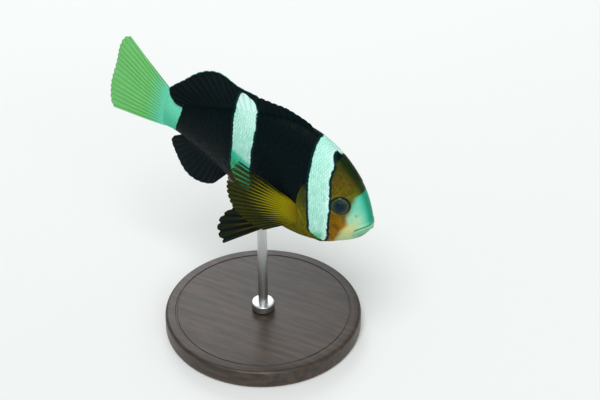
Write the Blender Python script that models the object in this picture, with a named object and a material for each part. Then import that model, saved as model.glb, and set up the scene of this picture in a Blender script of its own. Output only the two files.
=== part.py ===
"""A life-size clownfish, nose down with its tail swung to the left, held over a round base by one rod.

Metres, +Z up, head to +X. The origin is the middle of the base's underside.
A place on the fish is (back, side, up): back from the snout, out to its left and up from its axis,
all as shares of the standard length.
"""
import math

import bpy
import bmesh
import numpy as np
from mathutils import Vector

# Driving dimensions
LENGTH = 0.086  # standard length: snout to the end of the tail's flesh
GAP = 0.0003  # space between neighbouring pieces
CUT = GAP / LENGTH  # the same space as a share of the length
NOSE_DOWN = math.radians(13.5)
FISH_CENTRE = (0.003, 0.0, 0.070)  # middle of the standard length

SWIM_START = 0.55  # from here back, the body follows an arc to its left
SWIM_RADIUS = 3.8

BASE_RADIUS = 0.036
BASE_HEIGHT = 0.007
COLLAR_RADIUS = 0.0042
COLLAR_HEIGHT = 0.0030
ROD_RADIUS = 0.00175
ROD_TOP = 0.060  # before it is cut to the belly

# The body: (back, value) along its length
BACK_LINE = (
    (0.00, -0.022), (0.02, 0.008), (0.05, 0.060), (0.09, 0.120), (0.14, 0.171), (0.20, 0.219),
    (0.27, 0.260), (0.35, 0.286), (0.43, 0.289), (0.52, 0.272), (0.62, 0.237), (0.72, 0.192),
    (0.82, 0.140), (0.90, 0.103), (0.96, 0.090), (1.00, 0.100),
)
BELLY_LINE = (
    (0.00, -0.022), (0.02, -0.048), (0.05, -0.091), (0.09, -0.128), (0.14, -0.161), (0.20, -0.190),
    (0.27, -0.209), (0.34, -0.215), (0.42, -0.209), (0.50, -0.189), (0.58, -0.159), (0.66, -0.122),
    (0.76, -0.090), (0.86, -0.070), (0.94, -0.062), (1.00, -0.070),
)
HALF_WIDTH = (
    (0.00, 0.000), (0.02, 0.027), (0.05, 0.044), (0.09, 0.063), (0.14, 0.081), (0.20, 0.095),
    (0.27, 0.103), (0.35, 0.106), (0.45, 0.101), (0.55, 0.090), (0.66, 0.072), (0.78, 0.050),
    (0.88, 0.035), (0.95, 0.026), (1.00, 0.018),
)
WIDEST_HEIGHT = ((0.00, -0.022), (0.10, -0.012), (0.20, -0.010), (0.35, 0.000), (0.50, 0.020),
                 (0.70, 0.045), (0.90, 0.022), (1.00, 0.014))
RIDGE_ABOVE = ((0.00, 0.90), (0.15, 0.85), (0.25, 1.00), (0.40, 1.22), (0.70, 1.15), (1.00, 1.00))
RIDGE_BELOW = ((0.00, 0.90), (0.15, 0.90), (0.30, 0.85), (0.45, 0.88), (0.60, 1.05), (1.00, 1.00))

# Rises on each flank: (back, up, height, half length, half height)
SWELLINGS = (
    (0.148, 0.068, 0.006, 0.050, 0.050),  # rim of the orbit
    (0.055, -0.030, 0.003, 0.030, 0.030),  # upper lip
    (0.240, -0.020, 0.003, 0.050, 0.080),  # gill cover
)

# Where the body parts, as (back, up) lines
GILL_LINE = ((0.315, 0.36), (0.303, 0.26), (0.299, 0.15), (0.312, 0.09), (0.320, 0.05),
             (0.316, 0.01), (0.301, -0.03), (0.264, -0.09), (0.230, -0.14), (0.185, -0.20),
             (0.120, -0.27))
CHEEK_LINE = ((0.215, 0.125), (0.197, 0.05), (0.190, -0.03), (0.172, -0.10), (0.140, -0.16))
JAW_LINE = ((-0.060, 0.034), (0.000, 0.014), (0.022, 0.006), (0.045, -0.013), (0.060, -0.027),
            (0.074, -0.044), (0.090, -0.100), (0.108, -0.200))
TAIL_LINE = ((0.850, 0.30), (0.880, 0.12), (0.888, 0.02), (0.880, -0.10), (0.850, -0.30))
GILL_DEPTH = 0.050  # the gill covers' inner face lies this far from the middle

EYE_PLACE = (0.147, 0.069, 0.069)
EYE_RADIUS = 0.0390
EYE_FLATNESS = 0.62

BODY_RINGS = 36
BODY_SIDES = 28
FAR = 0.5  # reach of the cutting regions, beyond the body

# Fins: margins as (back, up) lines
SPINY_EDGE = ((0.380, 0.303), (0.430, 0.315), (0.490, 0.321), (0.550, 0.312), (0.617, 0.306))
SOFT_EDGE = ((0.621, 0.306), (0.700, 0.308), (0.783, 0.322), (0.844, 0.303), (0.900, 0.260),
             (0.952, 0.193), (0.990, 0.147), (1.002, 0.126), (0.986, 0.114))
ANAL_EDGE = ((0.690, -0.168), (0.725, -0.222), (0.780, -0.246), (0.840, -0.238), (0.895, -0.202),
             (0.935, -0.155), (0.950, -0.120), (0.940, -0.092))
TAIL_FAN = math.radians(26)
TAIL_LIFT = math.radians(3)
TAIL_FAN_CENTRE = (0.860, 0.020)
PECTORAL_UP = math.radians(28.5)
PECTORAL_DOWN = math.radians(30)
FIN_ROWS = (0.0, 0.30, 0.65, 1.0)
ROOT_SINK = 0.014  # depth to which a fin's root is carried in before it is cut to the body

# Finishes: (colour, roughness, metallic)
BLACK_FLESH = ((0.012, 0.016, 0.020), 0.45, 0.0)
HEAD_FLESH = ((0.220, 0.110, 0.020), 0.45, 0.0)
PALE_FLESH = ((0.560, 0.640, 0.480), 0.45, 0.0)
BLACK_FIN = ((0.015, 0.017, 0.022), 0.50, 0.0)
YELLOW_FIN = ((0.620, 0.300, 0.020), 0.50, 0.0)
PALE_FIN = ((0.480, 0.760, 0.600), 0.50, 0.0)
EYE_FINISH = ((0.020, 0.035, 0.050), 0.08, 0.0)
BASE_FINISH = ((0.025, 0.026, 0.028), 0.30, 0.0)
ROD_FINISH = ((0.560, 0.560, 0.560), 0.28, 1.0)


def smooth_value(points):
    """A function of back: a cubic spline through the points, run over the root of back so the snout is round."""
    x = np.sqrt([p[0] for p in points])
    y = np.array([p[1] for p in points])
    step = np.diff(x)
    matrix = np.eye(len(x))
    rise = np.zeros(len(x))
    for i in range(1, len(x) - 1):
        matrix[i, i - 1:i + 2] = step[i - 1], 2 * (step[i - 1] + step[i]), step[i]
        rise[i] = 6 * ((y[i + 1] - y[i]) / step[i] - (y[i] - y[i - 1]) / step[i - 1])
    bend = np.linalg.solve(matrix, rise)

    def value(back):
        q = math.sqrt(min(max(back, 0.0), 1.0))
        i = min(max(int(np.searchsorted(x, q)) - 1, 0), len(step) - 1)
        a, b = x[i + 1] - q, q - x[i]
        slope_a = y[i] / step[i] - bend[i] * step[i] / 6
        slope_b = y[i + 1] / step[i] - bend[i + 1] * step[i] / 6
        return (bend[i] * a ** 3 + bend[i + 1] * b ** 3) / (6 * step[i]) + slope_a * a + slope_b * b

    return value


def smooth_line(points, steps=6):
    """The points joined by a Catmull-Rom curve, with this many steps between each two."""
    p = [Vector(q) for q in points]
    p = [2 * p[0] - p[1]] + p + [2 * p[-1] - p[-2]]
    line = []
    for a, b, c, d in zip(p, p[1:], p[2:], p[3:]):
        for k in range(steps):
            t = k / steps
            line.append(0.5 * (2 * b + (c - a) * t + (2 * a - 5 * b + 4 * c - d) * t ** 2
                               + (3 * b - a - 3 * c + d) * t ** 3))
    return line + [p[-2]]


def moved_line(line, distance):
    """An open line moved to the left of its own direction."""
    moved = []
    for i, point in enumerate(line):
        along = (line[min(i + 1, len(line) - 1)] - line[max(i - 1, 0)]).normalized()
        moved.append(point + Vector((-along.y, along.x)) * distance)
    return moved


def along_line(line, share):
    """The point at a share of a line's length."""
    lengths = np.cumsum([0.0] + [(b - a).length for a, b in zip(line, line[1:])])
    where = share * lengths[-1]
    i = min(int(np.searchsorted(lengths, where, side="right")) - 1, len(line) - 2)
    return line[i].lerp(line[i + 1], (where - lengths[i]) / (lengths[i + 1] - lengths[i]))


def place(back, side, up):
    """A place on the fish, in metres from the middle of its standard length."""
    turn = max(0.0, back - SWIM_START) / SWIM_RADIUS
    ahead = 0.5 - min(back, SWIM_START) - SWIM_RADIUS * math.sin(turn) + side * math.sin(turn)
    left = SWIM_RADIUS * (1 - math.cos(turn)) + side * math.cos(turn)
    return Vector((ahead, left, up)) * LENGTH


back_line = smooth_value(BACK_LINE)
belly_line = smooth_value(BELLY_LINE)
half_width = smooth_value(HALF_WIDTH)
widest_height = smooth_value(WIDEST_HEIGHT)
ridge_above = smooth_value(RIDGE_ABOVE)
ridge_below = smooth_value(RIDGE_BELOW)


def body_point(back, angle):
    """The skin at an angle round the body: 0 is its left side, a quarter turn its back."""
    out, rise = math.cos(angle), math.sin(angle)
    middle = widest_height(back)
    edge = back_line(back) if rise > 0 else belly_line(back)
    ridge = ridge_above(back) if rise > 0 else ridge_below(back)
    up = middle + abs(rise) * (edge - middle)
    side = half_width(back) * abs(out) ** ridge
    for at, height, swell, long, high in SWELLINGS:
        side += abs(out) * swell * math.exp(-((back - at) / long) ** 2 - ((up - height) / high) ** 2)
    return place(back, math.copysign(side, out), up)


def new_object(name, mesh_maker, finish=None, parent=None):
    """An object from a finished bmesh; one without a finish is a helper that only cuts."""
    mesh = bpy.data.meshes.new(name)
    bmesh.ops.recalc_face_normals(mesh_maker, faces=mesh_maker.faces)
    mesh_maker.to_mesh(mesh)
    mesh_maker.free()
    mesh.shade_smooth()
    mesh.set_sharp_from_angle(angle=math.radians(35))
    piece = bpy.data.objects.new(name, mesh)
    bpy.context.scene.collection.objects.link(piece)
    piece.parent = parent
    if finish is None:
        piece.hide_render = True
        piece.display_type = "WIRE"
        return piece
    colour, roughness, metallic = finish
    material = bpy.data.materials.new(name)
    material.use_nodes = True
    shader = material.node_tree.nodes["Principled BSDF"]
    shader.inputs["Base Color"].default_value = (*colour, 1.0)
    shader.inputs["Roughness"].default_value = roughness
    shader.inputs["Metallic"].default_value = metallic
    mesh.materials.append(material)
    return piece


def cut(piece, cutter, operation="DIFFERENCE"):
    """Cuts a piece by another body, or keeps only what lies inside it."""
    modifier = piece.modifiers.new(cutter.name, "BOOLEAN")
    modifier.operation = operation
    modifier.solver = "EXACT"
    modifier.object = cutter


def keep_inside(piece, region):
    cut(piece, region, "INTERSECT")


def rings_to_mesh(rings, snout):
    """A closed body through rings of points, from one point at the snout to a flat end."""
    bm = bmesh.new()
    tip = bm.verts.new(snout)
    loops = [[bm.verts.new(p) for p in ring] for ring in rings]
    count = len(rings[0])
    for i in range(count):
        j = (i + 1) % count
        bm.faces.new((tip, loops[0][i], loops[0][j]))
        for a, b in zip(loops, loops[1:]):
            bm.faces.new((a[i], b[i], b[j], a[j]))
    bm.faces.new(loops[-1])
    return bm


def whole_body(grown=0.0):
    """The body from snout to tail root; grown moves its skin outward by that many metres."""
    rings = []
    for i in range(1, BODY_RINGS + 1):
        back = (i / BODY_RINGS) ** 1.35
        rings.append([body_point(back, math.tau * k / BODY_SIDES) for k in range(BODY_SIDES)])
    bm = rings_to_mesh(rings, body_point(0.0, 0.0))
    if grown:
        bmesh.ops.recalc_face_normals(bm, faces=bm.faces)
        bm.normal_update()
        for vertex in bm.verts:
            vertex.co += vertex.normal * vertex.calc_shell_factor() * grown
    return bm


def region(name, outline, side_from, side_to, parent):
    """A helper: a (back, up) outline carried from one side to the other."""
    bm = bmesh.new()
    near = [bm.verts.new(place(p.x, side_from, p.y)) for p in outline]
    far = [bm.verts.new(place(p.x, side_to, p.y)) for p in outline]
    bm.faces.new(near)
    bm.faces.new(list(reversed(far)))
    for i in range(len(outline)):
        j = (i + 1) % len(outline)
        bm.faces.new((near[j], near[i], far[i], far[j]))
    return new_object(name, bm, parent=parent)


def ellipsoid(centre, radius, flatness):
    """A ball squeezed from side to side."""
    bm = bmesh.new()
    bmesh.ops.create_uvsphere(bm, u_segments=20, v_segments=10, radius=radius)
    for vertex in bm.verts:
        vertex.co.y *= flatness
        vertex.co += centre
    return bm


def fin_mesh(ray_count, root, tip, thick, thin):
    """A plate with rays: root and tip give a ray's ends from its share of the fin, thick and thin are metres."""
    columns = 2 * ray_count - 1
    grid = np.zeros((columns, len(FIN_ROWS), 3))
    for i in range(columns):
        share = i / (columns - 1)
        start, end = root(share), tip(share)
        web = i % 2
        for k, out in enumerate(FIN_ROWS):
            reach = out * (1 - 0.035 * web * out)
            grid[i, k] = place(*start.lerp(end, reach))
    normal = np.cross(np.gradient(grid, axis=0), np.gradient(grid, axis=1))
    normal /= np.linalg.norm(normal, axis=2, keepdims=True)
    half = np.zeros((columns, len(FIN_ROWS), 1))
    for k, out in enumerate(FIN_ROWS):
        half[:, k] = (thick + (thin - thick) * out) / 2
    half[1::2] *= 0.8
    bm = bmesh.new()
    sheets = []
    for sheet in (grid + normal * half, grid - normal * half):
        sheets.append([[bm.verts.new(p) for p in column] for column in sheet])
    front, rear = sheets
    rows = len(FIN_ROWS)
    for i in range(columns - 1):
        for k in range(rows - 1):
            bm.faces.new((front[i][k], front[i + 1][k], front[i + 1][k + 1], front[i][k + 1]))
            bm.faces.new((rear[i][k + 1], rear[i + 1][k + 1], rear[i + 1][k], rear[i][k]))
        for k in (0, rows - 1):
            bm.faces.new((front[i][k], front[i + 1][k], rear[i + 1][k], rear[i][k]))
    for i in (0, columns - 1):
        for k in range(rows - 1):
            bm.faces.new((front[i][k], front[i][k + 1], rear[i][k + 1], rear[i][k]))
    return bm


def body_parts(fish, eyes):
    """The flesh: one body parted by thin cuts at the gills, cheeks, jaw and tail."""
    gill = smooth_line(GILL_LINE)
    cheek = smooth_line(CHEEK_LINE)
    jaw = smooth_line(JAW_LINE)
    tail = smooth_line(TAIL_LINE)

    def corners(back):
        return [Vector((back, -FAR)), Vector((back, FAR))]

    front = region("cut_front", moved_line(gill, -CUT / 2) + corners(-FAR), -FAR, FAR, fish)
    middle = region("cut_middle", moved_line(gill, CUT / 2) + moved_line(tail, -CUT / 2)[::-1],
                    -FAR, FAR, fish)
    rear = region("cut_rear", moved_line(tail, CUT / 2) + corners(2.0), -FAR, FAR, fish)
    under_jaw = [Vector((-0.06, -0.20))]
    below = region("cut_below", moved_line(jaw, -CUT / 2) + under_jaw, -FAR, FAR, fish)
    above = region("cut_above", moved_line(jaw, CUT / 2) + under_jaw, -FAR, FAR, fish)

    head = new_object("head", whole_body(), HEAD_FLESH, fish)
    keep_inside(head, front)
    cut(head, above)
    jaw_piece = new_object("lower_jaw", whole_body(), PALE_FLESH, fish)
    keep_inside(jaw_piece, below)
    trunk = new_object("trunk", whole_body(), BLACK_FLESH, fish)
    keep_inside(trunk, middle)
    keep_inside(new_object("tail_base", whole_body(), BLACK_FLESH, fish), rear)

    cover_rear = [p for p in gill if -0.22 < p.y < 0.135]
    for hand, sign in (("left", 1), ("right", -1)):
        outline = cheek + moved_line(cover_rear, -CUT / 2)[::-1]
        cover = region("cut_cover_" + hand, outline, sign * GILL_DEPTH, sign * FAR, fish)
        outline = moved_line(cheek, -CUT) + [p + Vector((0.03, 0)) for p in reversed(cover_rear)]
        outline = [Vector((p.x, p.y + CUT)) if p.y > 0.1 else p for p in outline]
        hollow = region("cut_hollow_" + hand, outline, sign * (GILL_DEPTH - CUT), sign * FAR, fish)
        keep_inside(new_object("gill_cover_" + hand, whole_body(), HEAD_FLESH, fish), cover)
        cut(head, hollow)
        cut(head, eyes[hand])


def eye_parts(fish):
    """The two eyeballs, and the slightly larger balls that hollow their sockets."""
    sockets = {}
    back, side, up = EYE_PLACE
    for hand, sign in (("left", 1), ("right", -1)):
        centre = place(back, sign * side, up)
        radius = EYE_RADIUS * LENGTH
        new_object("eye_" + hand, ellipsoid(centre, radius, EYE_FLATNESS), EYE_FINISH, fish)
        socket = ellipsoid(centre, radius + GAP * 1.2, EYE_FLATNESS)
        sockets[hand] = new_object("cut_socket_" + hand, socket, parent=fish)
    return sockets


def middle_fins(fish, grown):
    """The fins in the fish's middle plane."""

    def fin(name, rays, root, edge, finish, thick=0.0013, thin=0.0006):
        line = smooth_line(edge)

        def tip(share):
            point = along_line(line, share)
            return Vector((point.x, 0.0, point.y))

        piece = new_object(name, fin_mesh(rays, root, tip, thick, thin), finish, fish)
        cut(piece, grown)

    def on_back(start, end):
        def root(share):
            back = start + (end - start) * share
            return Vector((back, 0.0, back_line(back) - ROOT_SINK))
        return root

    def on_belly(share):
        back = 0.658 + 0.227 * share
        return Vector((back, 0.0, belly_line(back) + ROOT_SINK))

    fin("dorsal_fin_spiny", 10, on_back(0.338, 0.600), SPINY_EDGE, BLACK_FIN)
    fin("dorsal_fin_soft", 16, on_back(0.604, 0.900), SOFT_EDGE, BLACK_FIN)
    fin("anal_fin", 14, on_belly, ANAL_EDGE, BLACK_FIN)

    def tail_root(share):
        return Vector((1.0 - ROOT_SINK, 0.0, 0.097 - 0.162 * share))

    def tail_edge(share):
        spread = 1 - 2 * share
        reach = 0.435 + 0.035 * spread ** 2 - 0.032 * abs(spread) ** 9
        angle = TAIL_FAN * spread + TAIL_LIFT
        back, up = TAIL_FAN_CENTRE
        return Vector((back + reach * math.cos(angle), up + reach * math.sin(angle)))

    tail_line = [tail_edge(k / 40) for k in range(41)]
    fin("tail_fin", 16, tail_root, tail_line, PALE_FIN, thick=0.0017, thin=0.0006)


def paired_fins(fish, grown):
    """The pectoral fins, spread behind the gills, and the pelvic fins under the belly."""
    for hand, sign, lift in (("left", 1, -0.25), ("right", -1, 0.0)):

        def pectoral_root(share):
            return Vector((0.308 - 0.014 * share, sign * 0.094, -0.014 - 0.076 * share))

        def pectoral_tip(share):
            rise = PECTORAL_UP - (PECTORAL_UP + PECTORAL_DOWN) * share + lift
            out = math.radians(21 + 10 * share)
            reach = 0.268 + 0.045 * math.sin(math.pi * (share + 0.30)) - 0.090 * share ** 2
            ray = Vector((math.cos(rise) * math.cos(out), sign * math.cos(rise) * math.sin(out),
                          math.sin(rise)))
            return pectoral_root(share) + ray * reach

        def pelvic_root(share):
            return Vector((0.372 + 0.045 * share, sign * (0.048 - 0.012 * share), -0.176 - 0.004 * share))

        def pelvic_tip(share):
            ray = Vector((0.68 + 0.24 * share, sign * (0.34 - 0.24 * share), -0.64 + 0.40 * share))
            reach = 0.27 + 0.04 * math.sin(math.pi * share) - 0.10 * share
            return pelvic_root(share) + ray.normalized() * reach

        pectoral = fin_mesh(16, pectoral_root, pectoral_tip, 0.0015, 0.0005)
        cut(new_object("pectoral_fin_" + hand, pectoral, YELLOW_FIN, fish), grown)
        pelvic = fin_mesh(6, pelvic_root, pelvic_tip, 0.0016, 0.0005)
        cut(new_object("pelvic_fin_" + hand, pelvic, BLACK_FIN, fish), grown)


def turned(radius, bottom, top):
    """A plain disc or rod round the Z axis."""
    bm = bmesh.new()
    bmesh.ops.create_cone(bm, cap_ends=True, segments=48 if radius > 0.01 else 20,
                          radius1=radius, radius2=radius, depth=top - bottom)
    bmesh.ops.translate(bm, verts=bm.verts, vec=(0, 0, (top + bottom) / 2))
    return bm


def stand(grown):
    """A flat base, a collar on it and a rod up to the belly."""
    base = new_object("stand_base", turned(BASE_RADIUS, 0.0, BASE_HEIGHT), BASE_FINISH)
    bevel = base.modifiers.new("rounded_edge", "BEVEL")
    bevel.width = 0.0012
    bevel.segments = 2
    bevel.limit_method = "ANGLE"
    collar_bottom = BASE_HEIGHT + GAP
    collar_top = collar_bottom + COLLAR_HEIGHT
    collar = new_object("stand_collar", turned(COLLAR_RADIUS, collar_bottom, collar_top), ROD_FINISH)
    hole = new_object("cut_collar", turned(ROD_RADIUS + GAP, 0.0, BASE_HEIGHT + 2 * COLLAR_HEIGHT))
    cut(collar, hole)
    rod = new_object("stand_rod", turned(ROD_RADIUS, BASE_HEIGHT + GAP, ROD_TOP), ROD_FINISH)
    cut(rod, grown)


def build():
    for leftover in list(bpy.data.objects):
        bpy.data.objects.remove(leftover)
    fish = bpy.data.objects.new("fish", None)
    bpy.context.scene.collection.objects.link(fish)
    fish.location = FISH_CENTRE
    fish.rotation_euler = (0.0, NOSE_DOWN, 0.0)
    grown = new_object("cut_grown_body", whole_body(grown=GAP), parent=fish)
    body_parts(fish, eye_parts(fish))
    middle_fins(fish, grown)
    paired_fins(fish, grown)
    stand(grown)


build()
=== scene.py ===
# %% [markdown]
# # A clownfish on a museum stand
# The solids of the fish arrive as a fixed frame: head, jaw, gill covers, trunk, tail base, eight
# fins, two eyes and a small stand. This lesson dresses them. One seamless skin goes over the flesh, a
# coat of overlapping scales goes over the skin, and rayed fins, wet eyes and a turned base finish the
# model. Nothing is sculpted by hand: each form is a short formula over the same few lines that shape
# the solids, so the fine meshes land on the frame without any fitting.

# %% Load the frame
import math
from types import SimpleNamespace

import bpy
import numpy as np
from mathutils import Matrix, Vector


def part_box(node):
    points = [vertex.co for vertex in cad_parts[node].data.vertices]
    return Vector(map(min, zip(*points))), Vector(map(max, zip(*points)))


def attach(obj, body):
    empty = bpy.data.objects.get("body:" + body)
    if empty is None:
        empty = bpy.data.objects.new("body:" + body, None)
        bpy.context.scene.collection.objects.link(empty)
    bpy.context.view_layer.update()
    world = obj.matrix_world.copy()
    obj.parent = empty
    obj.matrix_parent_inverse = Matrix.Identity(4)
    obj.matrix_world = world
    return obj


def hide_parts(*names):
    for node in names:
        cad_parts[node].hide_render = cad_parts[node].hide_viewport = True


MM = 0.001  # a millimetre, in metres

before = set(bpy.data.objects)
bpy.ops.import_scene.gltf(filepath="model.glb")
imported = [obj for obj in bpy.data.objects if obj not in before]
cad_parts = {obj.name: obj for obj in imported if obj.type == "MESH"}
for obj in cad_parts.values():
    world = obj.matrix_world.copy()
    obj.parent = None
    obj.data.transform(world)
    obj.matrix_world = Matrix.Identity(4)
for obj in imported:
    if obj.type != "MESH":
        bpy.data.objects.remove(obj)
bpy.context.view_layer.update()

# %% [markdown]
# A fish is easiest to describe lying straight: how far back from the snout, how far out to its left,
# how far up from its axis. All three are shares of the standard length, so the whole animal scales
# from one number. The frame holds it nose down over the base with its tail swung to the left. The
# function below swings the tail, and each object's own matrix gives the tilt.

# %% Size and pose
LENGTH = 0.086  # snout to the end of the tail's flesh, in metres
MIDDLE = 0.5  # the fish's own origin lies this far back
NOSE_DOWN = math.radians(13.5)
FISH_CENTRE = Vector((0.003, 0.0, 0.070))
SWIM_START = 0.55  # behind this, the body follows an arc to its left
SWIM_RADIUS = 3.8
POSE = Matrix.Translation(FISH_CENTRE) @ Matrix.Rotation(NOSE_DOWN, 4, "Y")


def place(back, side, up):
    """Places on the fish, from shares of its length to metres."""
    back, side, up = np.broadcast_arrays(back, side, up)
    turn = np.maximum(0.0, back - SWIM_START) / SWIM_RADIUS
    ahead = MIDDLE - np.minimum(back, SWIM_START) - (SWIM_RADIUS - side) * np.sin(turn)
    left = SWIM_RADIUS * (1 - np.cos(turn)) + side * np.cos(turn)
    return np.stack((ahead, left, up), axis=-1) * LENGTH


print("snout at", np.round(place(0.0, 0.0, -0.022) / MM, 1), "mm, tail root at",
      np.round(place(1.0, 0.0, 0.014) / MM, 1), "mm")

# %% [markdown]
# The body is a loft, a stack of rounded sections along the fish. A few listed points give the line
# of the back, the belly, the half width and the height at which the fish is widest. A cubic spline
# joins the points. It runs over the square root of the distance, which makes the curves steep at the
# snout, so the head closes in a round nose and not in a cone.

# %% The lines of the body
BACK_LINE = (
    (0.00, -0.022), (0.02, 0.008), (0.05, 0.060), (0.09, 0.120), (0.14, 0.171), (0.20, 0.219),
    (0.27, 0.260), (0.35, 0.286), (0.43, 0.289), (0.52, 0.272), (0.62, 0.237), (0.72, 0.192),
    (0.82, 0.140), (0.90, 0.103), (0.96, 0.090), (1.00, 0.100),
)
BELLY_LINE = (
    (0.00, -0.022), (0.02, -0.048), (0.05, -0.091), (0.09, -0.128), (0.14, -0.161), (0.20, -0.190),
    (0.27, -0.209), (0.34, -0.215), (0.42, -0.209), (0.50, -0.189), (0.58, -0.159), (0.66, -0.122),
    (0.76, -0.090), (0.86, -0.070), (0.94, -0.062), (1.00, -0.070),
)
HALF_WIDTH = (
    (0.00, 0.000), (0.02, 0.027), (0.05, 0.044), (0.09, 0.063), (0.14, 0.081), (0.20, 0.095),
    (0.27, 0.103), (0.35, 0.106), (0.45, 0.101), (0.55, 0.090), (0.66, 0.072), (0.78, 0.050),
    (0.88, 0.035), (0.95, 0.026), (1.00, 0.018),
)
WIDEST_HEIGHT = ((0.00, -0.022), (0.10, -0.012), (0.20, -0.010), (0.35, 0.000), (0.50, 0.020),
                 (0.70, 0.045), (0.90, 0.022), (1.00, 0.014))
RIDGE_ABOVE = ((0.00, 0.90), (0.15, 0.85), (0.25, 1.00), (0.40, 1.22), (0.70, 1.15), (1.00, 1.00))
RIDGE_BELOW = ((0.00, 0.90), (0.15, 0.90), (0.30, 0.85), (0.45, 0.88), (0.60, 1.05), (1.00, 1.00))


def body_curve(points):
    """A natural cubic spline through (back, value) points, as a function of an array of back."""
    x = np.sqrt([p[0] for p in points])
    y = np.array([p[1] for p in points])
    step = np.diff(x)
    matrix = np.eye(len(x))
    rise = np.zeros(len(x))
    for i in range(1, len(x) - 1):
        matrix[i, i - 1:i + 2] = step[i - 1], 2 * (step[i - 1] + step[i]), step[i]
        rise[i] = 6 * ((y[i + 1] - y[i]) / step[i] - (y[i] - y[i - 1]) / step[i - 1])
    bend = np.linalg.solve(matrix, rise)

    def value(back):
        q = np.sqrt(np.clip(back, 0.0, 1.0))
        i = np.clip(np.searchsorted(x, q) - 1, 0, len(step) - 1)
        a, b, s = x[i + 1] - q, q - x[i], step[i]
        curve = (bend[i] * a ** 3 + bend[i + 1] * b ** 3) / (6 * s)
        return curve + (y[i] / s - bend[i] * s / 6) * a + (y[i + 1] / s - bend[i + 1] * s / 6) * b

    return value


back_line = body_curve(BACK_LINE)
belly_line = body_curve(BELLY_LINE)
half_width = body_curve(HALF_WIDTH)
widest_height = body_curve(WIDEST_HEIGHT)
ridge_above = body_curve(RIDGE_ABOVE)
ridge_below = body_curve(RIDGE_BELOW)
print("deepest:", round(float(back_line(0.38) - belly_line(0.38)) * LENGTH / MM, 1), "mm")

# %% [markdown]
# An angle of 0 is the middle of a flank and a quarter turn is the back, as on a clock face seen from
# behind. The ridge values bend the section between a soft ellipse and a keel. The orbits, the upper
# lip and the gill covers swell the flanks a little, as bell-shaped rises.

# %% The flank as a formula
SWELLINGS = (  # back, up, height, half length, half height
    (0.148, 0.068, 0.006, 0.050, 0.050),  # rim of the orbit
    (0.055, -0.030, 0.003, 0.030, 0.030),  # upper lip
    (0.240, -0.020, 0.003, 0.050, 0.080),  # gill cover
)


def section(back, angle):
    """Half width and height of the body at an angle round it, as shares."""
    out, rise = np.cos(angle), np.sin(angle)
    middle = widest_height(back)
    edge = np.where(rise > 0, back_line(back), belly_line(back))
    ridge = np.where(rise > 0, ridge_above(back), ridge_below(back))
    up = middle + np.abs(rise) * (edge - middle)
    side = half_width(back) * np.abs(out) ** ridge
    for at, height, swell, long, high in SWELLINGS:
        side = side + np.abs(out) * swell * np.exp(-((back - at) / long) ** 2 - ((up - height) / high) ** 2)
    return np.copysign(side, out), up


def flank(back, angle):
    side, up = section(back, angle)
    return place(back, side, up)


NUDGE = 1e-4  # a step along or round the body, small enough to give a slope


def flank_normal(back, angle):
    """Outward unit normals, from the slopes along and round the body."""
    along = flank(np.minimum(back + NUDGE, 1.0), angle) - flank(np.maximum(back - NUDGE, 1e-6), angle)
    around = flank(back, angle + NUDGE) - flank(back, angle - NUDGE)
    normal = np.cross(along, around)
    return normal / np.maximum(np.linalg.norm(normal, axis=-1, keepdims=True), 1e-15)


print("flank at the gill:", np.round(flank(0.29, 0.0) / MM, 1), "faces", np.round(flank_normal(0.29, 0.0), 2))

# %% [markdown]
# The camera looks down on the right flank from ahead, as a diver hovering above the fish would. It
# could stand closer, but then the head would swell, so a long lens from half a metre keeps the
# perspective calm. Two angles and a distance place it, which are easier to judge than coordinates.

# %% The camera
CAMERA_AZIMUTH = math.radians(27.5)
CAMERA_ELEVATION = math.radians(35.5)
CAMERA_DISTANCE = 0.55
CAMERA_RIGHT = 0.01084  # how far the aim lies right of and below the fish's middle
CAMERA_DOWN = 0.01077
CAMERA_LENS = 95.87

scene = bpy.context.scene
scene.view_settings.view_transform = "Standard"
right = Vector((math.cos(CAMERA_AZIMUTH), math.sin(CAMERA_AZIMUTH), 0))
backward = Vector((math.sin(CAMERA_AZIMUTH) * math.cos(CAMERA_ELEVATION),
                   -math.cos(CAMERA_AZIMUTH) * math.cos(CAMERA_ELEVATION), math.sin(CAMERA_ELEVATION)))
upward = backward.cross(right)
camera_spot = FISH_CENTRE + backward * CAMERA_DISTANCE + right * CAMERA_RIGHT - upward * CAMERA_DOWN
camera_turn = Matrix((right, upward, backward)).transposed().to_4x4()
camera = bpy.data.objects.new("camera", bpy.data.cameras.new("camera"))
scene.collection.objects.link(camera)
camera.data.lens = CAMERA_LENS
camera.data.clip_start = 0.01
camera.matrix_world = Matrix.Translation(camera_spot) @ camera_turn
scene.camera = camera
print("camera at", [round(v, 3) for v in camera_spot])

# %% [markdown]
# Daylight under water comes from above, so the key is a broad sun, high and a little towards the
# camera's side. A lamp would leave a pool of light, where a sun lights the whole floor alike. A weak
# lamp ahead of the fish fills its shadows, one behind draws the dark back against the floor, and a
# pale sky does the rest.

# %% Light
SUN_FROM = Vector((0.12, -0.47, 0.88))
SUN_STRENGTH = 1.75
SUN_WIDTH = math.radians(28)  # a wide sun casts soft shadows
SKY_COLOUR = (0.88, 0.91, 0.91, 1.0)
SKY_STRENGTH = 0.50
LAMPS = (  # name, place, size, power, colour
    ("fill_lamp", (0.75, -0.60, 0.45), 0.60, 2.2, (0.93, 1.0, 0.98)),
    ("rim_lamp", (-0.55, 0.70, 0.60), 0.50, 3.0, (0.95, 0.98, 1.0)),
)


def hang(light):
    """An object that carries a light."""
    holder = bpy.data.objects.new(light.name, light)
    scene.collection.objects.link(holder)
    return holder


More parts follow.
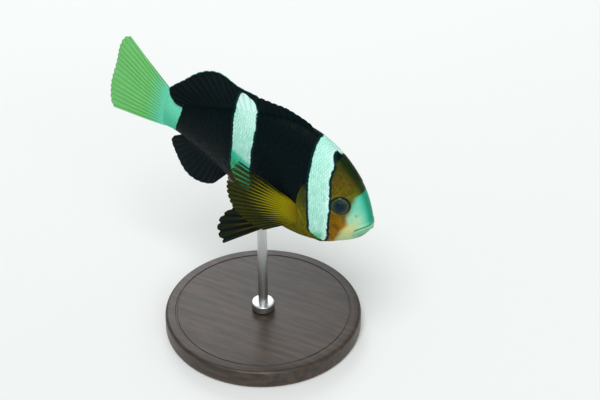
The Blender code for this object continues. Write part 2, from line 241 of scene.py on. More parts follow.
sun = bpy.data.lights.new("key_sun", "SUN")
sun.energy = SUN_STRENGTH
sun.angle = SUN_WIDTH
hang(sun).rotation_euler = SUN_FROM.to_track_quat("Z", "Y").to_euler()
for name, spot, size, power, colour in LAMPS:
    lamp = bpy.data.lights.new(name, "AREA")
    lamp.size = size
    lamp.energy = power
    lamp.color = colour
    holder = hang(lamp)
    holder.location = spot
    holder.rotation_euler = (FISH_CENTRE - Vector(spot)).to_track_quat("-Z", "Y").to_euler()
scene.world = bpy.data.worlds.new("studio")
scene.world.use_nodes = True
sky = scene.world.node_tree.nodes["Background"]
sky.inputs["Color"].default_value = SKY_COLOUR
sky.inputs["Strength"].default_value = SKY_STRENGTH
print("one sun,", len(LAMPS), "lamps and a sky of strength", SKY_STRENGTH)

# %% [markdown]
# The floor is one plain sheet, like a roll of paper in a studio, and so large that its far edge melts
# into the sky.

# %% The floor
FLOOR_REACH = 6.0
FLOOR_COLOUR = (0.80, 0.81, 0.80, 1.0)
FLOOR_ROUGHNESS = 0.9
FLOOR_GLOSS = 0.1

floor_corners = [(x * FLOOR_REACH, y * FLOOR_REACH, 0) for x, y in ((-1, -1), (1, -1), (1, 1), (-1, 1))]
floor_mesh = bpy.data.meshes.new("floor")
floor_mesh.from_pydata(floor_corners, [], [(0, 1, 2, 3)])
floor = bpy.data.objects.new("floor", floor_mesh)
scene.collection.objects.link(floor)
paper = bpy.data.materials.new("studio_paper")
paper.use_nodes = True
paper_shader = paper.node_tree.nodes["Principled BSDF"]
paper_shader.inputs["Base Color"].default_value = FLOOR_COLOUR
paper_shader.inputs["Roughness"].default_value = FLOOR_ROUGHNESS
paper_shader.inputs["Specular IOR Level"].default_value = FLOOR_GLOSS
floor_mesh.materials.append(paper)
print("floor:", FLOOR_REACH * 2, "m across")

# %% [markdown]
# Materials here are sums and masks of positions, and drawing them node by node hides the idea. A
# small Wire class lets plain arithmetic do it: adding two wires puts a Math node in the tree and
# gives back its output. The shaders then read like the formulas of the body.

# %% Arithmetic that makes shader nodes
class Wire:
    """A number or colour on its way through a node tree."""

    def __init__(self, tree, socket):
        self.tree, self.socket = tree, socket

    def math(self, operation, *others):
        node = self.tree.nodes.new("ShaderNodeMath")
        node.operation = operation
        for socket, value in zip(node.inputs, (self, *others)):
            feed(socket, value)
        return Wire(self.tree, node.outputs[0])

    def __add__(self, other):
        return self.math("ADD", other)

    def __sub__(self, other):
        return self.math("SUBTRACT", other)

    def __mul__(self, other):
        return self.math("MULTIPLY", other)

    def __truediv__(self, other):
        return self.math("DIVIDE", other)

    def __rsub__(self, other):
        return self * -1.0 + other

    __radd__, __rmul__ = __add__, __mul__


def feed(socket, value):
    """Links a wire to a socket, or sets a plain value on it."""
    if isinstance(value, Wire):
        value.tree.links.new(value.socket, socket)
    elif socket.type == "RGBA" and len(value) == 3:
        socket.default_value = (*value, 1.0)
    else:
        socket.default_value = value


print("a wire adds, subtracts, multiplies and divides, and takes any Math node by name")

# %% [markdown]
# Three steps do nearly all the painting. A soft step turns a distance into a mask with a gentle edge.
# A mix lays one colour over another where the mask says. Noise breaks up what would look machine
# made. Each is one Blender node, wrapped in a function that reads from left to right.

# %% Masks, mixes and noise
def soft_step(value, start, end):
    """0 before start, 1 after end, smooth between; start may lie above end."""
    node = value.tree.nodes.new("ShaderNodeMapRange")
    node.interpolation_type = "SMOOTHSTEP"
    low, high = (start, end) if start < end else (end, start)
    for name, number in (("Value", value), ("From Min", low), ("From Max", high),
                         ("To Min", float(start > end)), ("To Max", float(start < end))):
        feed(node.inputs[name], number)
    return Wire(value.tree, node.outputs[0])


def mix(share, first, second):
    """The first colour where share is 0, the second where it is 1."""
    node = share.tree.nodes.new("ShaderNodeMix")
    node.data_type = "RGBA"
    feed(node.inputs[0], share)
    feed(node.inputs[6], first)
    feed(node.inputs[7], second)
    return Wire(share.tree, node.outputs[2])


def noise(place_wire, scale, detail=2.0, stretch=(1, 1, 1)):
    """Cloudy noise round 0.5, with scale cells to the metre."""
    mapping = place_wire.tree.nodes.new("ShaderNodeMapping")
    mapping.inputs["Scale"].default_value = stretch
    feed(mapping.inputs["Vector"], place_wire)
    node = place_wire.tree.nodes.new("ShaderNodeTexNoise")
    node.inputs["Scale"].default_value = scale
    node.inputs["Detail"].default_value = detail
    place_wire.tree.links.new(mapping.outputs[0], node.inputs["Vector"])
    return Wire(place_wire.tree, node.outputs["Factor" if "Factor" in node.outputs else "Fac"])


def split(place_wire):
    node = place_wire.tree.nodes.new("ShaderNodeSeparateXYZ")
    feed(node.inputs[0], place_wire)
    return [Wire(place_wire.tree, output) for output in node.outputs]


print("masks, mixes and noise read places in metres")

# %% [markdown]
# A marking with a free outline needs a curve. An image could hold it, but would blur when enlarged.
# The Float Curve node keeps it as a few points instead: a height goes in, and how far back the edge
# lies at that height comes out. The difference between a point's own place and that edge is a
# distance, and a soft step of it gives the mask.

# %% Drawn edges
UP_LOW = -0.30  # a drawn edge covers the heights from here
UP_HIGH = 0.40  # to here


def drawn_edge(up, points):
    """A free curve: back as a function of up, through (up, back) points."""
    node = up.tree.nodes.new("ShaderNodeFloatCurve")
    curve = node.mapping.curves[0]
    spots = sorted(((height - UP_LOW) / (UP_HIGH - UP_LOW), back) for height, back in points)
    curve.points[0].location = spots[0]
    curve.points[1].location = spots[-1]
    for spot in spots[1:-1]:
        curve.points.new(*spot)
    node.mapping.extend = "HORIZONTAL"
    node.mapping.update()
    feed(node.inputs["Value"], (up - UP_LOW) / (UP_HIGH - UP_LOW))
    return Wire(up.tree, node.outputs[0])


def inner(first, second):
    """The lesser of two depths, which is the depth inside both shapes."""
    return first.math("MINIMUM", second)


print("drawn edges cover", round((UP_HIGH - UP_LOW) * LENGTH / MM), "mm of height")

# %% [markdown]
# The pattern is what makes it this fish: a black body, three pale bars, an olive and orange head and
# a pale snout. Skin, scales and fins all have to agree on it, so it will be one node group that
# paints by place. Every marking in it reads the same few wires: where the point lies on the fish, and
# some noise. A namespace keeps them together under plain names. The numbers in the masks are shares
# of the length where they meet a place, and where they meet a noise, it runs from 0 to 1 round 0.5.

# %% Where a marking lies
EDGE_WOBBLE = 0.010  # how far a noise moves the edges of the markings
WOBBLE_CELLS = 420.0  # noise cells to the metre
CLOUD_CELLS = 900.0
PATCH_CELLS = 260.0
STREAK_CELLS = 1500.0
STREAK_STRETCH = (1.0, 1.0, 0.22)  # streaks run up and down


def fish_wires(spot):
    """Shares of the length and noises, as wires that all markings read."""
    ahead, left, height = split(spot)
    return SimpleNamespace(
        back=MIDDLE - ahead / LENGTH,
        up=height / LENGTH,
        left=left / LENGTH,
        side=left.math("ABSOLUTE") / LENGTH,
        wobble=(noise(spot, WOBBLE_CELLS) - 0.5) * EDGE_WOBBLE,
        cloud=noise(spot, CLOUD_CELLS, 3.0),
        patches=noise(spot, PATCH_CELLS),
        streaks=noise(spot, STREAK_CELLS, 2.0, STREAK_STRETCH),
        fine=noise(spot, STREAK_CELLS, 3.0, STREAK_STRETCH),
    )


def near(fish, centre, radius):
    """How far out from a centre in the side view, where 1 is the radius."""
    across = (fish.back - centre[0]) / radius
    rise = (fish.up - centre[1]) / radius
    return (across * across + rise * rise).math("SQRT")


def greater(first, second):
    """The greater of two masks, which is what either of them covers."""
    return first.math("MAXIMUM", second)


print("edges wander up to", round(EDGE_WOBBLE / 2 * LENGTH / MM, 2), "mm either way")

# %% [markdown]
# The trunk is nearly black, with a cold blue in it that keeps it from looking like a hole. The breast
# is gold, which fades to a dull olive up the gill cover. A painter would lay the gold over the black,
# and so do the masks here: one for the breast, and one for the cover behind the head bar.

# %% Trunk and breast
BLACK = (0.0008, 0.0038, 0.0043)
BLUE_BLACK = (0.0006, 0.0070, 0.0105)
GOLD = (0.170, 0.150, 0.002)
GILL_OLIVE = (0.050, 0.058, 0.006)
OLIVE_DARK = (0.040, 0.050, 0.006)
BREAST_HEIGHT = -0.095  # full gold from here down
BREAST_BACK = 0.26  # behind this, the gold ends lower, and before it higher


def paint_trunk(fish):
    """Black, with gold on the breast and the gill cover."""
    black = mix(soft_step(fish.cloud, 0.35, 0.75), BLACK, BLUE_BLACK)
    breast = soft_step(fish.up + (fish.back - BREAST_BACK) * 0.5, -0.050, BREAST_HEIGHT)
    breast = breast * soft_step(fish.back, 0.47, 0.36)
    cover = inner(soft_step(fish.back, 0.326, 0.314), soft_step(fish.up, 0.108, 0.070))
    cover = cover * soft_step(fish.back, 0.200, 0.240)
    gold = mix(soft_step(fish.up, 0.050, -0.050), GILL_OLIVE, GOLD)
    gold = mix(soft_step(fish.cloud, 0.45, 0.80) * 0.5, gold, OLIVE_DARK)
    return mix(greater(breast, cover), black, gold)


print("the breast is gold from", round(BREAST_HEIGHT * LENGTH / MM, 1), "mm down")

# %% [markdown]
# Before the head bar, the cheek is orange and turns olive above the eye. Brown patches and darker
# clouds lie over both, as they do in living skin, and the top of the head is a deep green. Each
# colour is one mix over the one before, from the widest field to the smallest spot.

# %% The head
OLIVE = (0.145, 0.110, 0.004)
OLIVE_GREEN = (0.095, 0.115, 0.003)
BROWN = (0.150, 0.070, 0.004)
FOREHEAD = (0.008, 0.026, 0.004)
CHEEK_ORANGE = (0.285, 0.130, 0.002)
ORBIT_DARK = (0.012, 0.030, 0.022)
EYE_CENTRE = (0.147, 0.069)  # (back, up), as for all centres
ORBIT_REACH = 0.0395
BAR_NOTCH = (0.238, 0.238)  # a black spot fills the notch of the bar's front edge
NOTCH_REACH = 0.018


def paint_head(fish):
    """Orange cheek, olive temple, deep green crown."""
    head = mix(soft_step(fish.up + fish.patches * 0.04, 0.065, -0.005), OLIVE, CHEEK_ORANGE)
    head = mix(soft_step(fish.patches, 0.46, 0.64) * 0.65, head, BROWN)
    brow = soft_step(fish.back + fish.up * 0.25, 0.185, 0.150) * soft_step(fish.up, 0.020, 0.080)
    head = mix(brow * 0.8, head, OLIVE_GREEN)
    head = mix(soft_step(fish.up, 0.110, 0.215) * 0.60, head, OLIVE_DARK)
    head = mix(soft_step(fish.cloud, 0.50, 0.74) * 0.50, head, OLIVE_DARK)
    crown = soft_step(fish.side - fish.up * 0.10, 0.030, -0.010) * soft_step(fish.up, 0.060, 0.120)
    head = mix(crown, head, FOREHEAD)
    return mix(soft_step(near(fish, BAR_NOTCH, NOTCH_REACH), 1.4, 0.8), head, BLACK)


def paint_orbit(fish, head):
    """The dark ring round the eye."""
    return mix(soft_step(near(fish, EYE_CENTRE, ORBIT_REACH), 1.05, 0.95) * 0.85, head, ORBIT_DARK)


print("dark ring of the eye:", round(ORBIT_REACH * LENGTH * 2 / MM, 1), "mm across")

# %% [markdown]
# The snout is mint, pale on its side, with cream and a little gold towards the throat. Painted shade
# in teal darkens its ridge. A drawn edge parts it from the head, soft and a little wavy.

# %% The snout
SNOUT_EDGE = ((0.150, 0.012), (0.140, 0.040), (0.131, 0.072), (0.124, 0.092), (0.116, 0.104),
              (0.097, 0.107), (0.076, 0.108), (0.059, 0.106), (0.030, 0.110), (0.008, 0.109),
              (-0.022, 0.106), (-0.050, 0.116), (-0.090, 0.126), (-0.170, 0.145))
SNOUT_MINT = (0.150, 0.560, 0.400)
SNOUT_PALE = (0.400, 0.680, 0.460)
SNOUT_CREAM = (0.560, 0.600, 0.280)
SNOUT_GOLD = (0.660, 0.620, 0.230)
SNOUT_RIDGE_SHADE = (0.028, 0.440, 0.290)
SNOUT_CLOUD = (0.100, 0.330, 0.220)
RIDGE_DEEP_SHADE = (0.001, 0.220, 0.120)
PALE_CENTRE = (0.080, 0.005)
PALE_REACH = 0.050
GOLD_CENTRE = (0.098, -0.040)
GOLD_REACH = 0.026


def paint_snout(fish):
    """Mint and cream, with painted shade in teal on the ridge."""
    snout = mix(soft_step(near(fish, PALE_CENTRE, PALE_REACH), 1.5, 0.3) * 0.75, SNOUT_MINT, SNOUT_PALE)
    cream = soft_step(fish.up + fish.patches * 0.03, 0.058, -0.020) * soft_step(fish.back, 0.040, 0.080)
    snout = mix(cream * 0.85, snout, SNOUT_CREAM)
    snout = mix(soft_step(near(fish, GOLD_CENTRE, GOLD_REACH), 1.4, 0.3) * 0.85, snout, SNOUT_GOLD)
    # painted shade in teal on the ridge, darkest at its middle
    ridge = soft_step(fish.up, -0.020, 0.020)
    snout = mix(soft_step(fish.side, 0.050, 0.016) * ridge, snout, SNOUT_RIDGE_SHADE)
    return mix(soft_step(fish.side, 0.032, 0.002) * ridge * 0.80, snout, RIDGE_DEEP_SHADE)


print("snout edge:", len(SNOUT_EDGE), "points")

# %% [markdown]
# The lips are paler than the snout, and painted shade makes the line between them green. More
# painted shade darkens the underside of the lower jaw and the fold behind its lip. All three follow
# the distance to one drawn line, the mouth. Painted shade in the nostril's pit makes a small dark dot,
# and clouds break up the whole.

# %% Mouth and nostril
MOUTH_EDGE = ((0.030, -0.050), (0.010, 0.000), (0.000, 0.022), (-0.005, 0.031), (-0.017, 0.048),
              (-0.029, 0.062), (-0.043, 0.073), (-0.060, 0.095))
LIP = (0.300, 0.640, 0.430)
MOUTH_SLIT_SHADE = (0.100, 0.300, 0.090)
CHIN_SHADE = (0.110, 0.250, 0.110)
NOSTRIL_SHADE = (0.020, 0.070, 0.055)
NOSTRIL = (0.080, 0.038)
NOSTRIL_REACH = 0.0050
CHIN_FOLD = 0.023  # the fold lies this far before the mouth's line


def paint_mouth(fish, snout):
    """Lips over the snout's colours, with painted shade on the mouth line, under the chin and in the nostril.
    """
    above = fish.back - drawn_edge(fish.up, MOUTH_EDGE)
    jaw = soft_step(above, 0.002, -0.004) * soft_step(fish.back, 0.105, 0.045)
    fold = (above + CHIN_FOLD).math("ABSOLUTE")
    snout = mix(jaw * 0.75, snout, LIP)
    # painted shade under the lower jaw and in the fold behind its lip
    snout = mix(soft_step(above, -0.012, -0.060) * jaw * 0.85, snout, CHIN_SHADE)
    snout = mix(soft_step(fold, 0.009, 0.000) * jaw * 0.40, snout, CHIN_SHADE)
    # painted shade along the mouth's slit
    line = soft_step(above.math("ABSOLUTE"), 0.0085, 0.0018) * soft_step(fish.back, 0.078, 0.066)
    snout = mix(line * 0.80, snout, MOUTH_SLIT_SHADE)
    # painted shade in the nostril's pit
    snout = mix(soft_step(near(fish, NOSTRIL, NOSTRIL_REACH), 1.2, 0.5) * 0.50, snout, NOSTRIL_SHADE)
    return mix(soft_step(fish.cloud, 0.40, 0.90) * 0.25, snout, SNOUT_CLOUD)


print("nostril at", [round(v * LENGTH / MM, 1) for v in NOSTRIL], "mm from the snout's tip")

# %% [markdown]
# A bar is the space between two drawn edges. Their points follow the fish: the head bar runs from the
# nape down behind the eye, the middle bar climbs on to the dorsal fin and narrows there, and the
# third sits at the root of the tail. The depth inside a bar gives everything else: where it is
# pale, where a painted highlight brightens its rim and where the thin dark outline runs.

# %% The edges of the bars
HEAD_BAR_FRONT = ((0.300, 0.246), (0.252, 0.250), (0.241, 0.249), (0.232, 0.243), (0.221, 0.236),
                  (0.206, 0.226), (0.185, 0.226), (0.156, 0.221), (0.119, 0.209), (0.079, 0.195),
                  (0.035, 0.185), (-0.005, 0.180), (-0.071, 0.171), (-0.125, 0.170), (-0.160, 0.180))
HEAD_BAR_REAR = ((0.310, 0.320), (0.246, 0.318), (0.211, 0.313), (0.173, 0.305), (0.124, 0.295),
                 (0.087, 0.284), (0.045, 0.272), (0.000, 0.259), (-0.059, 0.243), (-0.100, 0.236),
                 (-0.123, 0.221), (-0.137, 0.200), (-0.155, 0.178))
MID_BAR_FRONT = ((0.296, 0.700), (0.290, 0.672), (0.271, 0.624), (0.240, 0.602), (0.224, 0.590),
                 (0.194, 0.576), (0.156, 0.568), (0.115, 0.562), (0.051, 0.548), (-0.050, 0.531),
                 (-0.110, 0.532), (-0.160, 0.553))
MID_BAR_REAR = ((0.296, 0.675), (0.288, 0.686), (0.266, 0.692), (0.228, 0.695), (0.201, 0.691),
                (0.143, 0.664), (0.084, 0.647), (0.037, 0.640), (-0.014, 0.632), (-0.060, 0.612),
                (-0.110, 0.585), (-0.160, 0.557))
TAIL_BAR_FRONT = ((0.130, 0.930), (0.080, 0.922), (0.053, 0.920), (0.019, 0.924), (-0.008, 0.928),
                  (-0.070, 0.938))
CREST_SHIFT = 0.016  # over the nape, the left side's head bar reaches this much further forward


def bar_depths(fish, front, rear):
    """Depths behind a bar's front edge and before its rear edge."""
    from_front = fish.back + fish.wobble - drawn_edge(fish.up, front)
    from_rear = drawn_edge(fish.up, rear) - fish.back - fish.wobble * 0.4
    return from_front, from_rear


def head_bar(fish):
    front, rear = bar_depths(fish, HEAD_BAR_FRONT, HEAD_BAR_REAR)
    crest = soft_step(fish.left, 0.000, 0.010) * soft_step(fish.up, 0.205, 0.230)
    return front + crest * CREST_SHIFT, rear


print("points of the bars' edges:", sum(map(len, (HEAD_BAR_FRONT, HEAD_BAR_REAR, MID_BAR_FRONT,
                                                   MID_BAR_REAR, TAIL_BAR_FRONT))))

# %% [markdown]
# Inside a bar, mint and green streaks stand upright, and a painted highlight makes the rims nearly
# white. The middle bar has painted light and shade: it is palest near the back, greens a little by
# its rear edge, and falls into a deep painted shade where the belly turns away, along a line that
# slopes a little. The head bar greens towards its rear edge, and painted shade greens its foot.

# %% The colours of the bars
BAR_PALE = (0.680, 0.940, 0.880)
BAR_MINT = (0.390, 0.790, 0.680)
BAR_GREEN = (0.210, 0.680, 0.460)
BAR_REAR = (0.180, 0.740, 0.560)
BAR_STREAK = (0.010, 0.420, 0.260)
# painted shade: the middle bar's shaded flank, its darkest foot, and the head bar's foot
BAR_SHADE = (0.001, 0.460, 0.270)
BAR_DEEP_SHADE = (0.003, 0.290, 0.085)
BAR_FOOT_SHADE = (0.060, 0.520, 0.230)
SHADE_SLOPE = 0.24  # how much the line of painted shade rises towards the tail


def paint_bars(fish, head_front, head_rear, mid_front, mid_rear):
    """Streaked mint, with painted highlights on the rims, painted light near the back and painted shade
    towards the belly.
    """
    on_trunk = soft_step(fish.back, 0.45, 0.50)
    fade = fish.up - (fish.back - 0.60) * SHADE_SLOPE
    mint = mix(soft_step(fish.streaks + (fish.cloud - 0.5) * 0.4, 0.36, 0.64) * 0.80, BAR_MINT, BAR_GREEN)
    mint = mix(soft_step(head_front, 0.026, 0.060) * (1.0 - on_trunk) * 0.70, mint, BAR_REAR)
    mint = mix(soft_step(fish.fine, 0.42, 0.56) * soft_step(fish.up, 0.300, 0.060) * 0.90, mint, BAR_STREAK)
    # painted light: the middle bar is palest near the back
    mint = mix(soft_step(fade, 0.166, 0.232) * on_trunk * 0.80, mint, BAR_PALE)
    # painted shade greens the middle bar near its rear edge, towards the line of shade
    mint = mix(soft_step(mid_rear, 0.090, 0.040) * soft_step(fade, 0.170, 0.080) * 0.38, mint, BAR_SHADE)
    # painted highlight that makes the rims of the bars nearly white
    rim = soft_step(head_front, 0.034, 0.004) * 0.90
    rim = greater(rim, soft_step(head_rear, 0.006, 0.002) * 0.50)
    rim = greater(rim, soft_step(inner(mid_front, mid_rear), 0.009, 0.003) * 0.60)
    mint = mix(rim, mint, BAR_PALE)
    # painted shade where the belly turns away, darkest at the middle bar's foot
    mint = mix(soft_step(fade, 0.074, 0.046) * on_trunk * 0.97, mint, BAR_SHADE)
    mint = mix(soft_step(fade, 0.050, 0.000) * on_trunk * 0.90, mint, BAR_DEEP_SHADE)
    # painted shade greens the foot of the head bar
    low = soft_step(fish.up + (fish.back - 0.20) * 0.5, -0.080, -0.125)
    return mix(low * soft_step(head_front, 0.008, 0.024) * 0.85, mint, BAR_FOOT_SHADE)


print("green of a bar, pale to shaded:", BAR_PALE[1], "to", BAR_DEEP_SHADE[1])

# %% [markdown]
# Now the parts come together, back to front: the trunk, the head before its bar, the dark outline of
# the bars, the bars themselves and the one at the tail. The group's second output says how pale a
# place is, so that the finish of the scales can treat black and mint differently.

# %% The whole pattern
BAR_OUTLINE = (0.0006, 0.0240, 0.0270)
OUTLINE_FAR = -0.0130  # the outline fades in from here, outside a bar's edge
OUTLINE_NEAR = -0.0080
BAR_SOFTNESS = 0.0020
TAIL_MINT = (0.150, 0.660, 0.440)
TAIL_GREEN = (0.030, 0.500, 0.280)


def make_markings():
    tree = bpy.data.node_groups.new("clownfish_markings", "ShaderNodeTree")
    tree.interface.new_socket("Place", in_out="INPUT", socket_type="NodeSocketVector")
    tree.interface.new_socket("Colour", in_out="OUTPUT", socket_type="NodeSocketColor")
    tree.interface.new_socket("Pale", in_out="OUTPUT", socket_type="NodeSocketFloat")
    fish = fish_wires(Wire(tree, tree.nodes.new("NodeGroupInput").outputs["Place"]))
    head_front, head_rear = head_bar(fish)
    mid_front, mid_rear = bar_depths(fish, MID_BAR_FRONT, MID_BAR_REAR)
    bars = greater(inner(head_front, head_rear), inner(mid_front, mid_rear))

    before_bar = soft_step(drawn_edge(fish.up, HEAD_BAR_FRONT) - fish.back, 0.000, 0.004)
    pale_snout = soft_step(drawn_edge(fish.up, SNOUT_EDGE) - fish.back + fish.wobble, -0.011, 0.013)
    head = mix(pale_snout, paint_head(fish), paint_mouth(fish, paint_snout(fish)))
    colour = mix(before_bar, paint_trunk(fish), paint_orbit(fish, head))

    in_bar = soft_step(bars, -BAR_SOFTNESS, BAR_SOFTNESS)
    colour = mix(soft_step(bars, OUTLINE_FAR, OUTLINE_NEAR), colour, BAR_OUTLINE)
    colour = mix(in_bar, colour, paint_bars(fish, head_front, head_rear, mid_front, mid_rear))

    in_tail = soft_step(fish.back - drawn_edge(fish.up, TAIL_BAR_FRONT), -0.002, 0.003)
    in_tail = in_tail * soft_step(fish.up, 0.122, 0.114) * soft_step(fish.up, -0.086, -0.078)
    tail = mix(soft_step(fish.up + fish.patches * 0.03, 0.075, -0.010) * 0.8, TAIL_MINT, TAIL_GREEN)
    result = tree.nodes.new("NodeGroupOutput")
    feed(result.inputs["Colour"], mix(in_tail, colour, tail))
    feed(result.inputs["Pale"], greater(greater(in_bar, in_tail), pale_snout * before_bar))
    return tree


markings = make_markings()
print("markings:", len(markings.nodes), "nodes")

# %% [markdown]
# All materials start the same way: a Principled shader, the place of a point in its own object, the
# markings at that place, and a bump in metres. These short helpers name those four steps, so that
# each finish below holds only what is special to it.

# %% Helpers for finishes
def new_material(name):
    material = bpy.data.materials.new(name)
    material.use_nodes = True
    tree = material.node_tree
    return material, tree, tree.nodes["Principled BSDF"]


def object_place(tree):
    return Wire(tree, tree.nodes.new("ShaderNodeTexCoord").outputs["Object"])


def attribute(tree, name):
    """A vector that the mesh stores at every point."""
    node = tree.nodes.new("ShaderNodeAttribute")
    node.attribute_name = name
    return Wire(tree, node.outputs["Vector"])


def marked(tree, spot):
    """The colour and paleness of the markings at a place."""
    node = tree.nodes.new("ShaderNodeGroup")
    node.node_tree = markings
    feed(node.inputs["Place"], spot)
    return Wire(tree, node.outputs["Colour"]), Wire(tree, node.outputs["Pale"])


def add_bump(tree, shader, height, depth, strength=1.0):
    """Bump of this depth in metres."""
    node = tree.nodes.new("ShaderNodeBump")
    node.inputs["Strength"].default_value = strength
    node.inputs["Distance"].default_value = depth
    feed(node.inputs["Height"], height)
    tree.links.new(node.outputs[0], shader.inputs["Normal"])


print("markings give", [item.name for item in markings.interface.items_tree if item.in_out == "OUTPUT"])

# %% [markdown]
# Fish skin is matt under water and only faintly wet on a model, so its gloss is broad and soft. One
# even roughness would look like plastic, so noise varies it. A fine bump gives the grain of mucus,
# and the same grain dulls the colour a little.

# %% Skin finish
GRAIN_CELLS = 5200.0  # cells to the metre, as for all noise
SKIN_GLOSS = 0.09
SKIN_BUMP = 0.04 * MM


def skin_finish():
    material, tree, shader = new_material("fish_skin")
    spot = object_place(tree)
    colour = marked(tree, spot)[0]
    grain = noise(spot, GRAIN_CELLS)
    feed(shader.inputs["Base Color"], mix(soft_step(grain, 0.40, 0.80) * 0.22, colour, OLIVE_DARK))
    feed(shader.inputs["Roughness"], 0.34 + noise(spot, 1500.0) * 0.22)
    shader.inputs["Specular IOR Level"].default_value = SKIN_GLOSS
    add_bump(tree, shader, grain + noise(spot, 1400.0) * 0.6, SKIN_BUMP, 0.7)
    return material


SKIN = skin_finish()
print("skin finish:", len(SKIN.node_tree.nodes), "nodes")

# %% [markdown]
# Every mesh here is made from arrays of points. Modelling tools could push vertices about instead,
# but a formula can be measured and run again. This helper turns arrays into an object in the fish's
# pose, smooths it, and joins it to the frame: it rides on the one body, stands for its CAD nodes,
# which it hides, and carries its material in a slot.

# %% From arrays to pieces
def add_piece(name, points, faces, material, stands_for=(), uv=None, vectors=(), matrix=POSE):
    mesh = bpy.data.meshes.new(name)
    mesh.from_pydata(np.asarray(points).reshape(-1, 3).tolist(), [], faces)
    mesh.shade_smooth()
    mesh.materials.append(material)
    if uv is not None:
        layer = mesh.uv_layers.new(name="OFBake")
        layer.uv.foreach_set("vector", np.asarray(uv, dtype=np.float32).ravel())
    for label, values in vectors:
        store = mesh.attributes.new(label, "FLOAT_VECTOR", "POINT")
        store.data.foreach_set("vector", np.asarray(values, dtype=np.float32).ravel())
    piece = bpy.data.objects.new(name, mesh)
    scene.collection.objects.link(piece)
    piece.matrix_world = matrix
    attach(piece, "root")
    if stands_for:
        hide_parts(*stands_for)
    print(f"{name}: {sum(len(f) - 2 for f in faces)} triangles")
    return piece


def grid_faces(rows, columns, wrapped=False):
    """Quads over a grid of points, joined round if wrapped."""
    last = columns if wrapped else columns - 1
    return [(r * columns + c, r * columns + (c + 1) % columns,
             (r + 1) * columns + (c + 1) % columns, (r + 1) * columns + c)
            for r in range(rows - 1) for c in range(last)]


def closed_faces(rows, columns):
    """Rings of quads, closed by a fan of triangles round one more point at each end."""
    faces = [tuple(reversed(f)) for f in grid_faces(rows, columns, wrapped=True)]
    first_end, last_end = rows * columns, rows * columns + 1
    last = (rows - 1) * columns
    faces += [(first_end, c, (c + 1) % columns) for c in range(columns)]
    faces += [(last_end, last + (c + 1) % columns, last + c) for c in range(columns)]
    return faces


def grid_rim(rows, columns):
    """The points round the edge of a grid, in order."""
    return (list(range(columns)) + [r * columns + columns - 1 for r in range(1, rows)]
            + [(rows - 1) * columns + c for c in range(columns - 2, -1, -1)]
            + [r * columns for r in range(rows - 2, 0, -1)])


def rim_walls(rim, size):
    """Quads from the rim of one grid to the rim of its copy, size points further on."""
    return [(b, a, a + size, b + size) for a, b in zip(rim, rim[1:] + rim[:1])]


print("a grid of 3 by 4 points:", len(grid_faces(3, 4)), "faces, and", len(grid_rim(3, 4)), "points round it")

# %% [markdown]
# The eye needs its place before the skin is made, because the skin dips round it. It sits on the
# flank's normal, a little forward and up. Solving for the angle at which the section reaches the
# eye's height gives the seat, and the normal there gives the eye's axis.

# %% Where the eyes sit
EYE_RADIUS = 3.35 * MM
EYE_SHOWN = 3.10 * MM  # radius at which the ball comes out of the skin
SIDES = (("left", 1), ("right", -1))


def angle_at(back, up):
    """The angle on the left flank at which the section has this height."""
    middle = widest_height(back)
    edge = back_line(back) if up > middle else belly_line(back)
    return math.copysign(math.asin(min(1.0, (up - middle) / (edge - middle))), up - middle)


def from_axis(spot, seat, axis):
    """How far places lie along an eye's axis, and how far from it."""
    off = spot - seat
    along = off @ axis
    return along, np.linalg.norm(off - along[..., None] * axis, axis=-1)


eye_seats = {}
for hand, sign in SIDES:
    left_angle = angle_at(*EYE_CENTRE)
    angle = left_angle if sign > 0 else math.pi - left_angle
    seat, axis = flank(EYE_CENTRE[0], angle), flank_normal(EYE_CENTRE[0], angle)
    eye_seats[hand] = seat, axis
    print(hand, "eye seat", np.round(seat / MM, 2), "faces", np.round(axis, 2))

# %% [markdown]
# The folds of the head follow lines: the edge of the gill, the edge of the cheek, the mouth. A few
# points joined by a smooth curve give each line, and the distance to it gives the fold, as the
# distance to a drawn edge gave the markings. Here the sums run on arrays, because these folds are
# real geometry and not paint.

# %% Lines and distances
def smooth_line(points, steps=6):
    """Points joined by a Catmull-Rom curve."""
    p = np.array(points)
    p = np.vstack((2 * p[0] - p[1], p, 2 * p[-1] - p[-2]))
    t = (np.arange(steps) / steps)[:, None]
    line = [0.5 * (2 * b + (c - a) * t + (2 * a - 5 * b + 4 * c - d) * t ** 2
                   + (3 * b - a - 3 * c + d) * t ** 3)
            for a, b, c, d in zip(p, p[1:], p[2:], p[3:])]
    return np.vstack(line + [p[-2:-1]])


def smooth(value, start, end):
    """0 before start and 1 after end, as an array."""
    t = np.clip((value - start) / (end - start), 0.0, 1.0)
    return t * t * (3 - 2 * t)


def bell(value, width):
    return np.exp(-(value / width) ** 2)


def line_distance(line, back, up):
    """Signed distance to a (back, up) line in metres; positive on its left."""
    spot = np.stack(np.broadcast_arrays(back, up), axis=-1)
    best = np.full(spot.shape[:-1], np.inf)
    signed = best.copy()
    for a, b in zip(line, line[1:]):
        along = b - a
        share = np.clip(((spot - a) @ along) / (along @ along), 0, 1)
        off = spot - a - share[..., None] * along
        far = np.linalg.norm(off, axis=-1)
        left = along[0] * off[..., 1] - along[1] * off[..., 0]
        closer = far < best
        best = np.where(closer, far, best)
        signed = np.where(closer, np.copysign(far, left), signed)
    return signed * LENGTH


print("a bell falls to", round(float(bell(1, 1)), 2), "at its width")

# %% [markdown]
# The gill cover is a bony plate with a free rear edge, which lifts a little off the body. It is free
# below the temple and joins its fellow under the throat, so its height fades at both ends. In front
# of it, the cheek plate makes a softer step.

